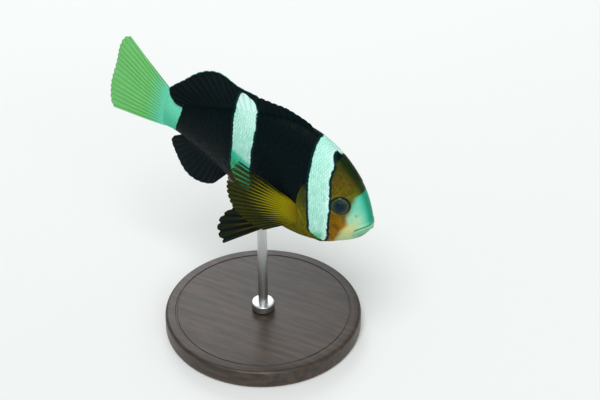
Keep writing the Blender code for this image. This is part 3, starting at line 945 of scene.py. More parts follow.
# %% Gill cover and cheek
GILL_LINE = ((0.315, 0.36), (0.303, 0.26), (0.299, 0.15), (0.312, 0.09), (0.320, 0.05),
             (0.316, 0.01), (0.301, -0.03), (0.264, -0.09), (0.230, -0.14), (0.185, -0.20),
             (0.120, -0.27))
CHEEK_LINE = ((0.215, 0.125), (0.197, 0.05), (0.190, -0.03), (0.172, -0.10), (0.140, -0.16))
GILL_HEIGHT = 0.50 * MM
CHEEK_HEIGHT = 0.20 * MM

gill_points = smooth_line(GILL_LINE)
cheek_points = smooth_line(CHEEK_LINE)


def gill_back(up):
    """The back of the gill cover's rear edge at a height."""
    return np.interp(up, gill_points[::-1, 1], gill_points[::-1, 0])


def gill_strength(up):
    """How free the cover's edge is, from 0 to 1."""
    return smooth(up, 0.140, 0.085) * (0.45 + 0.55 * smooth(up, -0.215, -0.15))


def gill_relief(back, up, behind):
    """The cover swells towards its edge and is over behind it."""
    cover = GILL_HEIGHT * gill_strength(up) * smooth(back - gill_back(up), -0.115, -0.012)
    return np.where(behind, 0.0, cover)


def cheek_relief(back, up):
    cheek = line_distance(cheek_points, back, up)
    level = smooth(up, 0.120, 0.060) * smooth(up, -0.170, -0.110)
    return CHEEK_HEIGHT * level * smooth(cheek, -0.5 * MM, 0.1 * MM) * smooth(cheek, 6 * MM, 1 * MM)


print("gill edge at mid height:", round(float(gill_back(0.0)), 3), "of the length back")

# %% [markdown]
# The mouth is a slit between two lips, and a shallow groove sets off each lip. One table of bells
# across the distance to the mouth's line makes all four. The very front is pressed in a little, so
# that the lips meet in a blunt face. The nostril is a pit with a raised rim.

# %% Mouth and nostril relief
MOUTH_LINE = ((-0.060, 0.020), (0.000, 0.004), (0.022, 0.000), (0.031, -0.005), (0.048, -0.017),
              (0.062, -0.029), (0.073, -0.043))
SLIT_DEPTH = 0.42 * MM
SLIT_WIDTH = 0.17 * MM
LIP_FOLDS = (  # distance above the slit, half width and height, in millimetres
    (0.62, 0.42, 0.22),  # upper lip
    (-0.66, 0.48, 0.30),  # lower lip
    (1.55, 0.35, -0.05),  # groove above
    (-1.75, 0.40, -0.08),  # groove below
)
PIT_DEPTH = 0.30 * MM
PIT_RIM = 0.10 * MM

mouth_points = smooth_line(MOUTH_LINE)


def mouth_relief(back, up):
    slit = line_distance(mouth_points, back, up)
    folds = sum(high * MM * bell(slit - at * MM, wide * MM) for at, wide, high in LIP_FOLDS)
    lips = folds * smooth(back, 0.078, 0.058) * (0.30 + 0.70 * smooth(back, 0.006, 0.036))
    cut = SLIT_DEPTH * bell(slit, SLIT_WIDTH) * smooth(back, 0.074, 0.062)
    pressed = (0.30 + 0.20 * bell(up + 0.044, 0.030)) * MM * bell(back, 0.024)
    return lips - cut - pressed


def nostril_relief(back, up):
    far = np.hypot(back - NOSTRIL[0], up - NOSTRIL[1]) * LENGTH
    return PIT_RIM * bell(far - 0.50 * MM, 0.20 * MM) - PIT_DEPTH * bell(far, 0.26 * MM)


print("mouth slit:", SLIT_DEPTH / MM, "mm deep, nostril:", PIT_DEPTH / MM, "mm deep")

# %% [markdown]
# Round the eye, the skin drops into a socket under the ball, with a fine groove where the two meet
# and a rim outside it. All three depend only on the distance from the eye's axis.
#
# The relief sums it all up: how far the skin stands over the plain flank at a place. Because it is
# one function, the scales can ask it for the height beneath them.

# %% The relief of the skin
SOCKET_DEPTH = 1.10 * MM
GROOVE_DEPTH = 0.30 * MM
ORBIT_RIM = 0.16 * MM
PECTORAL_PAD = 0.35 * MM  # a pad of flesh carries the root of the pectoral fin
PAD_CENTRE = (0.296, -0.050)


def orbit_relief(spot):
    height = 0.0
    for seat, axis in eye_seats.values():
        along, radius = from_axis(spot, seat, axis)
        socket = -SOCKET_DEPTH * smooth(radius, 1.02 * EYE_SHOWN, 0.86 * EYE_SHOWN)
        groove = -GROOVE_DEPTH * bell(radius - 1.02 * EYE_SHOWN, 0.30 * MM)
        rim = ORBIT_RIM * bell(radius - 1.26 * EYE_SHOWN, 0.42 * MM)
        height = height + np.where(along > -4 * MM, socket + groove + rim, 0.0)
    return height


def relief(back, angle, behind):
    """Height of the skin over the plain flank, in metres; behind says which side of the gill slit."""
    side, up = section(back, angle)
    height = gill_relief(back, up, behind) + cheek_relief(back, up)
    height = height + mouth_relief(back, up) + nostril_relief(back, up)
    height = height + orbit_relief(place(back, side, up))
    pad = bell(back - PAD_CENTRE[0], 0.016) * bell(up - PAD_CENTRE[1], 0.040)
    return height + PECTORAL_PAD * pad * behind


print("relief on the gill cover:", round(float(relief(0.29, 0.0, False)) / MM, 2), "mm")

# %% [markdown]
# The skin is a single grid wrapped round the body from snout to tail root. Its rings crowd together
# on the snout, over the face and at the gill, where the forms are small, and its columns crowd
# towards the flanks. Joining separate shells would leave seams, and a single grid has none.

# %% Rings and columns of the skin
COLUMNS = 292
GILL_RING = 0.305  # the ring that follows the gill's edge
FOLD = (  # plain place, folded place from the gill's edge, share of the cover's height, depth in mm
    (-0.0180, -0.0100, 1.00, 0.00), (-0.0140, -0.0050, 0.99, 0.00), (-0.0110, -0.0022, 0.92, 0.00),
    (-0.0080, -0.0006, 0.78, 0.00), (-0.0050, 0.0000, 0.58, 0.00), (-0.0020, -0.0004, 0.36, 0.00),
    (0.0010, -0.0022, 0.20, 0.00), (0.0040, -0.0060, 0.08, -0.02), (0.0065, -0.0090, 0.00, -0.10),
    (0.0090, -0.0070, 0.00, -0.17), (0.0120, -0.0020, 0.00, -0.17), (0.0150, 0.0040, 0.00, -0.12),
    (0.0190, 0.0130, 0.00, -0.05),
)

snout_rings = 0.10 * (np.arange(1, 81) / 80) ** 1.45
face_rings = np.linspace(0.10, GILL_RING + FOLD[0][0] - 0.004, 92)[1:]
fold_rings = GILL_RING + np.array([row[0] for row in FOLD])
trunk_rings = np.linspace(GILL_RING + FOLD[-1][0] + 0.005, 1.0, 144)
rings = np.concatenate((snout_rings, face_rings, fold_rings, trunk_rings))
fold_start = len(snout_rings) + len(face_rings)
column_turn = np.arange(COLUMNS) * (math.tau / COLUMNS)
column_angle = column_turn - 0.20 * np.sin(2 * column_turn)
print("skin grid:", len(rings), "rings of", COLUMNS)

# %% [markdown]
# The rings near the gill bend to run along its edge, and there the profile is a true fold: out over
# the lip, forward under it, and back along the flank. A fold made this way stays crisp, where a
# displaced flat grid would turn to steps. The whole skin lies a little inside the solids, because the
# scales fill the rest.

# %% The folded skin
COAT_DEPTH = 0.15 * MM  # room that the skin leaves for the scales
BLUNTING = 0.42 * MM  # the snout's tip is drawn back this far, and twice as far at the mouth
BEND_STEPS = 14


def bend_to_gill(ring, angle):
    """Moves a ring's points along the body so that the ring at GILL_RING follows the gill's edge."""
    pull = np.where(ring < GILL_RING, smooth(ring, 0.05, GILL_RING), smooth(ring, 0.62, GILL_RING))
    back = ring
    for _ in range(BEND_STEPS):
        back = ring + pull * (gill_back(section(back, angle)[1]) - GILL_RING)
    return back


def skin_points():
    ring, angle = np.meshgrid(rings, column_angle, indexing="ij")
    back = bend_to_gill(ring, angle)
    up = section(back, angle)[1]
    behind = ring > GILL_RING
    folded = np.zeros_like(ring)
    for i, (plain, fold, share, sunk) in enumerate(FOLD, start=fold_start):
        strength = gill_strength(up[i])
        back[i] += (fold - plain) * strength
        folded[i] = (share * GILL_HEIGHT + sunk * MM) * strength
        behind[i] = True  # the fold brings the cover's height itself
    taper = smooth(back, 0.0, 0.03) * smooth(back, 1.0, 0.97)
    shift = relief(back, angle, behind) + folded - COAT_DEPTH * (0.4 + 0.6 * taper)
    points = flank(back, angle) + flank_normal(back, angle) * shift[..., None]
    points[..., 0] -= BLUNTING * (1 + bell(up + 0.024, 0.014)) * bell(back, 0.032)
    return points


skin_grid = skin_points()
snout_tip = skin_grid[0].mean(axis=0)
tail_end = skin_grid[-1].mean(axis=0)
skin_corners = np.vstack((skin_grid.reshape(-1, 3), snout_tip, tail_end))
skin_faces = closed_faces(len(rings), COLUMNS)
print("snout tip of the skin:", np.round(snout_tip / MM, 2), "mm")

# %% [markdown]
# To bake its colours, the skin needs a flat map. It is cut along the belly and laid out: the length
# runs one way and the girth the other. A face that straddles the cut has its low turns raised by one,
# and the two end points take the mean turn of their face.

# %% The skin's map and piece
MAP_MARGIN = 0.02
FLESH = ("head", "lower_jaw", "gill_cover_left", "gill_cover_right", "trunk", "tail_base")


def unwrap(back, turn):
    """Shares of the length and of the girth, laid flat within a margin."""
    span = 1 - 2 * MAP_MARGIN
    return MAP_MARGIN + span * np.asarray(back), MAP_MARGIN + span * np.asarray(turn)


def skin_uv():
    across = np.append(rings, (0.0, 1.0))
    size = len(rings) * COLUMNS
    corners = []
    for face in skin_faces:
        turns = [column_angle[v % COLUMNS] / math.tau if v < size else None for v in face]
        known = [t for t in turns if t is not None]
        if max(known) - min(known) > 0.5:
            turns = [None if t is None else (t + 1.0 if t < 0.5 else t) for t in turns]
            known = [t for t in turns if t is not None]
        for v, turn in zip(face, turns):
            row = v // COLUMNS if v < size else len(rings) + v - size
            corners.append(unwrap(across[row], sum(known) / len(known) if turn is None else turn))
    return corners


add_piece("skin", skin_corners, skin_faces, SKIN, FLESH, uv=skin_uv())

# %% [markdown]
# Scales lie in rows along the body, each row half a scale out of step with the next, and every scale
# covers the root of the one behind. To lay them evenly, a place on the flank is given by its distance
# back and its distance round the body from the middle of the flank, measured over the skin. A table
# made once turns that distance into the angle that the flank's formula needs.

# %% Distances round the body
table_back = np.linspace(0.02, 1.0, 260)
table_angle = np.linspace(-math.pi / 2, math.pi / 2, 241)
table_points = flank(table_back[:, None], table_angle[None, :])
girth = np.linalg.norm(np.diff(table_points, axis=1), axis=-1).cumsum(axis=1)
girth = np.hstack((np.zeros((len(table_back), 1)), girth))
girth -= girth[:, [len(table_angle) // 2]]
table_round = np.linspace(girth.min(), girth.max(), 360)
angle_table = np.array([np.interp(table_round, row, table_angle) for row in girth])


def angle_round(back, distance):
    """The angle on the flank at a distance round the body from its middle, in metres."""
    i = np.interp(back, table_back, np.arange(len(table_back)))
    j = np.interp(distance, table_round, np.arange(len(table_round)))
    i0 = np.minimum(i.astype(int), len(table_back) - 2)
    j0 = np.minimum(j.astype(int), len(table_round) - 2)
    fi = i - i0
    fj = j - j0
    low = angle_table[i0, j0] * (1 - fj) + angle_table[i0, j0 + 1] * fj
    high = angle_table[i0 + 1, j0] * (1 - fj) + angle_table[i0 + 1, j0 + 1] * fj
    return low * (1 - fi) + high * fi


print("from belly to back over the skin:", round(float(np.ptp(girth, axis=1).max()) / MM, 1), "mm")

# %% [markdown]
# Scales are largest on the trunk and small on the head and the tail's root, so one list gives their
# size along the body, and rows and steps both stretch with it. The snout and the face before a drawn
# line stay bare, and so does a ring round the eye.

# %% Where the scales are rooted
SCALE_STEP = 1.00 * MM  # from one scale to the next in a row
ROW_STEP = 1.42 * MM
ROWS = (-22, 30)  # the first row under the middle of the flank, and the end above it
SCALE_SIZE = ((0.00, 0.52), (0.12, 0.62), (0.22, 0.80), (0.34, 1.00), (0.66, 1.00), (0.84, 0.84),
              (1.00, 0.62))  # (back, size)
BARE_FRONT = ((-0.30, 0.215), (-0.12, 0.170), (-0.05, 0.118), (0.00, 0.124), (0.06, 0.172),
              (0.10, 0.150), (0.13, 0.112), (0.40, 0.100))  # (up, back): no scales before this line
KEEL_ROOM = 0.30  # in rows, between the last scales and the keels
EYE_ROOM = 4.3 * MM


def size_at(back):
    return np.interp(back, *np.transpose(SCALE_SIZE))


def scale_roots():
    """Where each scale of one flank is rooted: (row, back), for all rows that fit."""
    counts = np.diff(table_back) * LENGTH / (SCALE_STEP * size_at(table_back[1:]))
    counted = np.concatenate(([0.0], np.cumsum(counts)))
    row, step = np.meshgrid(np.arange(*ROWS), np.arange(0, counted[-1], 1.0), indexing="ij")
    row = row.ravel()
    step = step.ravel() + 0.5 * (row % 2)
    back = np.interp(step, counted, table_back)
    distance = row * ROW_STEP * size_at(back)
    side, up = section(back, angle_round(back, distance))
    from_eye = from_axis(place(back, side, up), *eye_seats["left"])[1]
    room = KEEL_ROOM * ROW_STEP * size_at(back)
    keep = distance < np.interp(back, table_back, girth[:, -1]) - room
    keep &= distance > np.interp(back, table_back, girth[:, 0]) + room
    keep &= (back > np.interp(up, *np.transpose(BARE_FRONT))) & (from_eye > EYE_ROOM)
    return row[keep], back[keep]


scale_rows, scale_backs = scale_roots()
print(len(scale_rows), "places for scales on each flank, in", len(set(scale_rows)), "rows")

# %% [markdown]
# One scale is a thin plate on a small grid, rooted in front and free behind, with a rounded free
# edge and a real underside and rim, so it casts its own small shadow. A bump map of scales would be
# cheaper, but its outline against the light would be smooth. The grid runs from 0 at the root to 1 at
# the free edge, and from -1 to 1 across.

# %% The shape of one scale
SCALE_SAG = 0.42  # how far the free edge curves back to its sides, as a share of the length
SCALE_BEND = 0.035 * MM  # how far its sides droop
PLATE = 0.050 * MM
ALONG = np.array((0.0, 0.42, 0.78, 1.0))
ACROSS = np.array((-1.0, -0.55, 0.0, 0.55, 1.0))
ROOT_HEIGHT = -0.19 * MM
EDGE_HEIGHT = 0.03 * MM
TILT_CHANCE = 0.008

plate_corners = len(ALONG) * len(ACROSS)
plate_top = grid_faces(len(ALONG), len(ACROSS))
plate_under = [tuple(i + plate_corners for i in reversed(f)) for f in plate_top]
PLATE_FACES = plate_top + plate_under + rim_walls(grid_rim(len(ALONG), len(ACROSS)), plate_corners)
grid_along, grid_across = (g.ravel()[None, :] for g in np.meshgrid(ALONG, ACROSS, indexing="ij"))
plate_reach = grid_along * (1 - SCALE_SAG * np.abs(grid_across) ** 2.2)
plate_width = grid_across * (0.86 + 0.14 * np.sin(grid_along * math.pi))


def plate_rise(count, chance):
    """Height of each corner over the surface that carries the scale."""
    tilt = chance.normal(0, TILT_CHANCE, count)[:, None] * MM
    return ROOT_HEIGHT + (EDGE_HEIGHT - ROOT_HEIGHT + tilt) * grid_along - SCALE_BEND * grid_across ** 2


print("one scale:", sum(len(f) - 2 for f in PLATE_FACES), "triangles")

# %% [markdown]
# All scales share one finish. It reads the markings partly at its own place and partly at the middle
# of its scale, which gives the bars a softly stepped edge. On the black, a painted sheen lays a little
# teal on the free edge; on the bars, painted shade and each scale's tone lay a little green there.
# Each scale has a tone of its own, and fine rays run to the free edge as bump.

# %% Scale finish
MIDDLE_SHARE = 0.25  # how far the reading moves from a point to the middle of its scale
EDGE_SHEEN = (0.003, 0.016, 0.018)
EDGE_SHADE_AND_TONE = (0.180, 0.640, 0.450)
SCALE_DARK = (0.002, 0.004, 0.003)
SCALE_GLOSS = 0.05
SCALE_BUMP = 0.02 * MM
SCALE_RAYS = 26.0


def scale_finish():
    material, tree, shader = new_material("fish_scales")
    own = object_place(tree)
    between = tree.nodes.new("ShaderNodeMix")
    between.data_type = "VECTOR"
    between.inputs[0].default_value = MIDDLE_SHARE
    feed(between.inputs[4], own)
    feed(between.inputs[5], attribute(tree, "scale_middle"))
    colour, pale = marked(tree, Wire(tree, between.outputs[1]))
    along, across, tone = split(attribute(tree, "scale_lines"))
    edge = soft_step(along, 0.86, 1.0)
    # painted sheen of teal on the free edge of black scales
    colour = mix(edge * (1.0 - pale) * 0.30, colour, EDGE_SHEEN)
    # painted shade on the free edge of pale scales, with each scale's own tone
    colour = mix((edge * 0.35 + tone * 0.20) * pale, colour, EDGE_SHADE_AND_TONE)
    feed(shader.inputs["Base Color"], mix(tone * (1.0 - pale) * 0.30, colour, SCALE_DARK))
    feed(shader.inputs["Roughness"], 0.36 + tone * 0.14)
    shader.inputs["Specular IOR Level"].default_value = SCALE_GLOSS
    rays = (across * SCALE_RAYS).math("SINE") * soft_step(along, 0.35, 0.9)
    add_bump(tree, shader, rays * 0.5 + noise(own, GRAIN_CELLS), SCALE_BUMP, 0.5)
    return material


SCALES = scale_finish()
print("scale finish:", len(SCALES.node_tree.nodes), "nodes")

# %% [markdown]
# Thousands of separate objects would be slow, so the plates of one area are joined in one mesh.
# Every point remembers what the finish asks for: the middle of its scale, its place on the plate and
# a tone drawn by chance. On the baking map, each scale gets a small patch of its own.

# %% Joining scales
PATCH = 0.003  # each scale's share of the baking map
MIDDLE_CORNER = 2 * len(ACROSS) + len(ACROSS) // 2  # on the middle line, well back from the root


def add_scales(name, base, normal, height, patch, flipped, chance):
    """Joins many plates in one piece."""
    top = base + normal * height[..., None]
    under = base + normal * (height - PLATE)[..., None]
    points = np.concatenate((top, under), axis=1)
    count, size = points.shape[:2]
    pattern = [tuple(reversed(f)) for f in PLATE_FACES] if flipped else PLATE_FACES
    faces = [tuple(i + k * size for i in f) for k in range(count) for f in pattern]
    middle = top[:, [MIDDLE_CORNER]].repeat(size, axis=1)
    tone = chance.uniform(0, 1, count)[:, None].repeat(size, axis=1)
    along = np.tile(grid_along, (count, 2))
    across = np.tile(grid_across, (count, 2))
    lines = np.stack((along, across, tone), axis=-1)
    spread = np.stack((along - 0.5, across / 2), axis=-1)
    uv = (patch[:, None, :] + spread * PATCH).reshape(-1, 2)
    corners = np.concatenate([np.asarray(f) for f in faces])
    return add_piece(name, points, faces, SCALES, uv=uv[corners],
                     vectors=(("scale_middle", middle), ("scale_lines", lines)))


print("the middle corner lies", float(grid_along[0, MIDDLE_CORNER]), "of the way along a scale")

# %% [markdown]
# The coat gives the corners of its scales in the flank's own coordinates, so every plate bends with
# the body. The root starts just under the skin and the free edge rests over the two scales behind. A
# little chance in size and twist breaks the machine look, drawn from a seeded generator so that every
# run is the same. One row high on the flank carries the tubes of the lateral line. Scales stop at the
# edge of the gill cover and start afresh behind it.

# %% The coat
SCALE_LENGTH = 2.35  # in steps
SCALE_HALF_WIDTH = 1.06  # in row steps
SIZE_CHANCE = 0.05
TWIST_CHANCE = 0.02
COAT_SEED = 11
GILL_CLEAR = 0.25  # where the cover is freer than this, no scale crosses its edge
LATERAL_ROW = 11
LATERAL_FROM = 0.31
LATERAL_TO = 0.86
TUBE_HEIGHT = 0.11 * MM
TUBE_WIDTH = 0.45


def coat(hand, sign, part, chosen):
    """A joined mesh of the chosen scales on one side of the fish."""
    row, back = scale_rows[chosen], scale_backs[chosen]
    chance = np.random.default_rng(COAT_SEED + part)
    count = len(row)
    size = size_at(back) * chance.uniform(1 - SIZE_CHANCE, 1 + SIZE_CHANCE, count)
    ahead = (SCALE_STEP * SCALE_LENGTH * size)[:, None] * plate_reach
    beside = (ROW_STEP * SCALE_HALF_WIDTH * size)[:, None] * plate_width
    beside = beside + ahead * chance.normal(0, TWIST_CHANCE, count)[:, None]
    spot_back = np.minimum(back[:, None] + ahead / LENGTH, 0.9999)
    angle = angle_round(spot_back, row[:, None] * ROW_STEP * size_at(spot_back) + beside)
    root_angle = angle_round(back, row * ROW_STEP * size_at(back))
    if sign < 0:
        angle = math.pi - angle
        root_angle = math.pi - root_angle
    root_up = section(back, root_angle)[1]
    behind = back - gill_back(root_up) > -0.004
    up = section(spot_back, angle)[1]
    over_edge = (~behind) & ((spot_back - gill_back(up)).max(axis=1) > -0.003)
    keep = ~(over_edge & (gill_strength(root_up) > GILL_CLEAR))
    height = relief(spot_back, angle, behind[:, None]) + plate_rise(count, chance)
    tube = (row == LATERAL_ROW) & (back > LATERAL_FROM) & (back < LATERAL_TO)
    height = height + TUBE_HEIGHT * bell(grid_across, TUBE_WIDTH) * grid_along * tube[:, None]
    patch = np.stack(unwrap(back, (root_angle % math.tau) / math.tau), axis=-1)
    base, normal = flank(spot_back, angle), flank_normal(spot_back, angle)
    add_scales(f"scales_{hand}_{part}", base[keep], normal[keep], height[keep], patch[keep], sign > 0, chance)
    return int(keep.sum())


split_back = np.median(scale_backs)
for hand, sign in SIDES:
    front_count = coat(hand, sign, 1, scale_backs <= split_back)
    rear_count = coat(hand, sign, 2, scale_backs > split_back)
    print(front_count + rear_count, "scales on the", hand)

# %% [markdown]
# A fish's eye has no lids. It is a shallow dome with a round lens that bulges through the pupil, set
# in a groove of skin. The ball is turned like a bowl: a profile of radius and height, spun round the
# eye's own axis, and drawn out a little one way. Its profile runs over the front and closes behind.

# %% The eye's shape
EYE_DEPTH = 2.05 * MM  # half thickness of the ball
EYE_REAR = 0.8 * EYE_DEPTH
EYE_SINK = 1.25 * MM  # its middle lies this far under the flank
EYE_TALL = 1.08  # the eye's longer axis against its shorter one
EYE_TILT = math.radians(38)  # how far the longer axis leans from upright
EYE_SPOKES = 96
EYE_RINGS = 43
REAR_RINGS = 22
PUPIL = 1.66 * MM
LENS_HEIGHT = 0.26 * MM
PUPIL_RIM = 0.05 * MM


def eye_profile(radius):
    """Height of the front of the eye at a radius from its axis."""
    dome = EYE_DEPTH * np.sqrt(np.clip(1 - (radius / EYE_RADIUS) ** 2, 0, 1))
    lens = LENS_HEIGHT * np.sqrt(np.clip(1 - (radius / PUPIL) ** 2, 0, 1))
    ridge = PUPIL_RIM * bell(radius - 1.16 * PUPIL, 0.14 * MM)
    return dome + lens + ridge - PUPIL_RIM * bell(radius - PUPIL, 0.08 * MM)


def spun(radii, heights, sides, tall=1.0):
    """Points of a profile spun round its axis; tall stretches them one way."""
    turn = np.arange(sides) * (math.tau / sides)
    radii, heights = np.asarray(radii)[:, None], np.asarray(heights)[:, None]
    grid = np.broadcast_arrays(radii * np.cos(turn), radii * np.sin(turn) * tall, heights)
    return np.stack(grid, axis=-1).reshape(-1, 3)


eye_turn = np.linspace(0, 1, EYE_RINGS + 1)[1:] * math.pi / 2
front_radii = EYE_RADIUS * np.sin(eye_turn)
rear_radii = EYE_RADIUS * np.cos(eye_turn[:REAR_RINGS])
eye_radii = np.concatenate((front_radii, rear_radii))
eye_heights = np.concatenate((eye_profile(front_radii), -EYE_REAR * np.sin(eye_turn[:REAR_RINGS])))
eye_ends = ((0, 0, float(eye_profile(0.0))), (0, 0, -EYE_REAR))
eye_points = np.vstack((spun(eye_radii, eye_heights, EYE_SPOKES, EYE_TALL), eye_ends))
print("eye:", round(2 * EYE_RADIUS / MM, 1), "mm wide, its lens", round(2 * PUPIL / MM, 1), "mm")

# %% [markdown]
# The iris is a set of rings round a deep blue pupil: teal, then olive, a gold thread and a dark rim,
# with fine spokes of noise across them. A picture of an eye could be laid on, but rings by distance
# from the axis stay sharp. For them, each eye has a matrix of its own, with Z along its axis. A clear
# coat gives the wet gleam.

# %% The eye's finish
IRIS_TEAL = (0.002, 0.024, 0.022)
IRIS_OLIVE = (0.030, 0.040, 0.012)
IRIS_SPOKE = (0.006, 0.026, 0.020)
IRIS_RING = (0.010, 0.036, 0.030)
IRIS_GOLD = (0.060, 0.070, 0.026)
IRIS_RIM = (0.004, 0.014, 0.012)
PUPIL_BLUE = (0.0003, 0.0110, 0.0260)
EYE_GLOSS = 0.06
EYE_COAT = 0.18
EYE_COAT_ROUGHNESS = 0.05
EYE_BUMP = 0.03 * MM


def eye_finish():
    material, tree, shader = new_material("fish_eye")
    spot = object_place(tree)
    x, y, _ = split(spot)
    spokes = noise(spot, 1500.0, 3.0, (1, 1, 0.2))
    radius = (x * x + y * y).math("SQRT") / MM + (spokes - 0.5) * 0.10
    pupil = PUPIL / MM
    iris = mix(soft_step(radius, 2.05, 2.30), IRIS_TEAL, IRIS_OLIVE)
    iris = mix(soft_step(spokes, 0.42, 0.66) * 0.65, iris, IRIS_SPOKE)
    iris = mix(soft_step((radius - 1.12 * pupil).math("ABSOLUTE"), 0.16, 0.06) * 0.6, iris, IRIS_RING)
    iris = mix(soft_step(radius, 2.55, 2.70), iris, IRIS_GOLD)
    iris = mix(soft_step(radius, 2.80, 3.00), iris, IRIS_RIM)
    feed(shader.inputs["Base Color"], mix(soft_step(radius, pupil, pupil - 0.10), iris, PUPIL_BLUE))
    feed(shader.inputs["Roughness"], 0.24 + spokes * 0.12)
    shader.inputs["Specular IOR Level"].default_value = EYE_GLOSS
    shader.inputs["Coat Weight"].default_value = EYE_COAT
    shader.inputs["Coat Roughness"].default_value = EYE_COAT_ROUGHNESS
    add_bump(tree, shader, spokes, EYE_BUMP, 0.4)
    return material


EYE = eye_finish()
for hand, (seat, axis) in eye_seats.items():
    out = Vector(axis)
    across = Vector((0, 0, 1)).cross(out).normalized()
    facing = Matrix((across, out.cross(across), out)).transposed().to_4x4()
    tilt = Matrix.Rotation(EYE_TILT if hand == "right" else -EYE_TILT, 4, "Z")
    eye_matrix = POSE @ Matrix.Translation(Vector(seat) - out * EYE_SINK) @ facing @ tilt
    add_piece("eyeball_" + hand, eye_points, closed_faces(len(eye_radii), EYE_SPOKES), EYE,
              ("eye_" + hand,), matrix=eye_matrix)

# %% [markdown]
# A fin is a web stretched over rays, and each soft ray forks on its way to the margin. Two lines, the
# root and the margin, give the ends of every ray. From them comes one function for the whole fin: the
# middle of the sheet, its normal and its half thickness anywhere between. The flesh is thick at the
# root, and further out the rays stand over a thin web. Separate rays glued to a sheet would show
# their joins, and this way they grow out of it.

# %% The surface of a fin
RAY_WIDTH = 0.13  # half width of a ray, as a share of the space from ray to ray
FORK_SPREAD = 0.17
WEB_THINNING = 0.68
MARGIN_THINNING = 0.55
FIN_NUDGE = 1e-3


def fin_surface(root, tip, rays, thick, thin, notch=0.012, fork=0.45, wave=0.0):
    """A function of the share along the fin and the share out from its root."""

    def sheet(share, reach):
        start, end = root(share), tip(share)
        spot = start + (end - start) * reach[..., None]
        return place(spot[..., 0], spot[..., 1], spot[..., 2])

    def surface(share, out):
        share, out = np.broadcast_arrays(share, out)
        phase = share * (rays - 1)
        off = phase - np.round(phase)
        branch = FORK_SPREAD * smooth(out, fork, 1.0)
        ray = np.maximum(bell(off - branch, RAY_WIDTH), bell(off + branch, RAY_WIDTH))
        reach = out * (1 - notch * smooth(np.abs(off), 0.20, 0.50) * np.clip(out, 0, 1) ** 3)
        slope = sheet(share + FIN_NUDGE, reach) - sheet(share - FIN_NUDGE, reach)
        normal = np.cross(slope, sheet(share, reach + FIN_NUDGE) - sheet(share, reach - FIN_NUDGE))
        normal /= np.maximum(np.linalg.norm(normal, axis=-1, keepdims=True), 1e-15)
        ripple = wave * np.sin(phase * 0.9 + out * 2.0) * np.clip(out, 0, 1) ** 1.5
        web = 1.0 - WEB_THINNING * smooth(out, 0.0, 0.32)
        half = (thick + (thin - thick) * out) / 2 * (web + (1 - web) * ray)
        half = half * (1 - MARGIN_THINNING * smooth(out, 0.93, 1.0))
        return sheet(share, reach) + normal * ripple[..., None], normal, half, ray

    return surface


print("a ray fills", round(2 * RAY_WIDTH, 2), "of the space from ray to ray")

# %% [markdown]
# The mesh samples that function on a grid, once for each face of the fin, and walls close its rim.
# Every point remembers where it lies along its ray, which is all that the fin's finish needs. On the
# baking map, the two faces lie side by side.

# %% Fin maker
FIN_ROWS = 44
RAY_COLUMNS = 10  # columns from one ray to the next
FAR_SHIFT = 0.51  # how far the far face lies from the near one on the baking map


def fin_map(share, out, far=0.0):
    """Place on the baking map."""
    return np.stack((0.01 + 0.47 * share + far, 0.02 + 0.96 * out), axis=-1)


def fin_sheet(name, surface, rays, material):
    columns = (rays - 1) * RAY_COLUMNS + 1
    share = np.linspace(0.0, 1.0, columns)[:, None]
    out = (np.linspace(0.0, 1.0, FIN_ROWS) ** 0.92)[None, :]
    sheet, normal, half, ray = surface(share, out)
    points = np.stack((sheet + normal * half[..., None], sheet - normal * half[..., None]))
    size = columns * FIN_ROWS
    flat = grid_faces(columns, FIN_ROWS)
    near_face = [tuple(reversed(f)) for f in flat]
    far_face = [tuple(i + size for i in f) for f in flat]
    walls = [tuple(reversed(f)) for f in rim_walls(grid_rim(columns, FIN_ROWS), size)]
    faces = near_face + far_face + walls
    lines = np.stack(np.broadcast_arrays(share, out, ray), axis=-1)
    near_map = fin_map(lines[..., 0], lines[..., 1]).reshape(-1, 2)
    both_maps = np.vstack((near_map, near_map + (FAR_SHIFT, 0.0)))
    corners = np.concatenate([np.asarray(f) for f in faces])
    return add_piece(name + "_rays", points, faces, material, (name,), uv=both_maps[corners],
                     vectors=(("fin_lines", np.stack((lines, lines))),))


def at_length(line, share):
    """Points at shares of a line's length."""
    steps = np.concatenate(([0.0], np.cumsum(np.linalg.norm(np.diff(line, axis=0), axis=1))))
    where = np.asarray(share) * steps[-1]
    return np.stack([np.interp(where, steps, line[:, k]) for k in range(line.shape[1])], axis=-1)


print("one fin face has", FIN_ROWS, "rows, and", RAY_COLUMNS, "columns from ray to ray")

# %% [markdown]
# Small scales climb from the body on to the roots of the middle fins and hide the seam there, like
# the cuff of a sleeve. They are laid in rows by distance along the rays, and shrink as they climb.

# %% Scales on the roots of fins
CUFF_START = 0.30 * MM
CUFF_SHRINK = 0.45  # how much smaller the last row would be than the first
CUFF_LENGTH = 1.7  # of a scale, in sizes
CUFF_WIDTH = 1.25  # from one scale to the next, in sizes
CUFF_CLIMB = 0.72  # from one row to the next, in sizes
CUFF_END = 0.62  # no scale reaches beyond this share of its ray


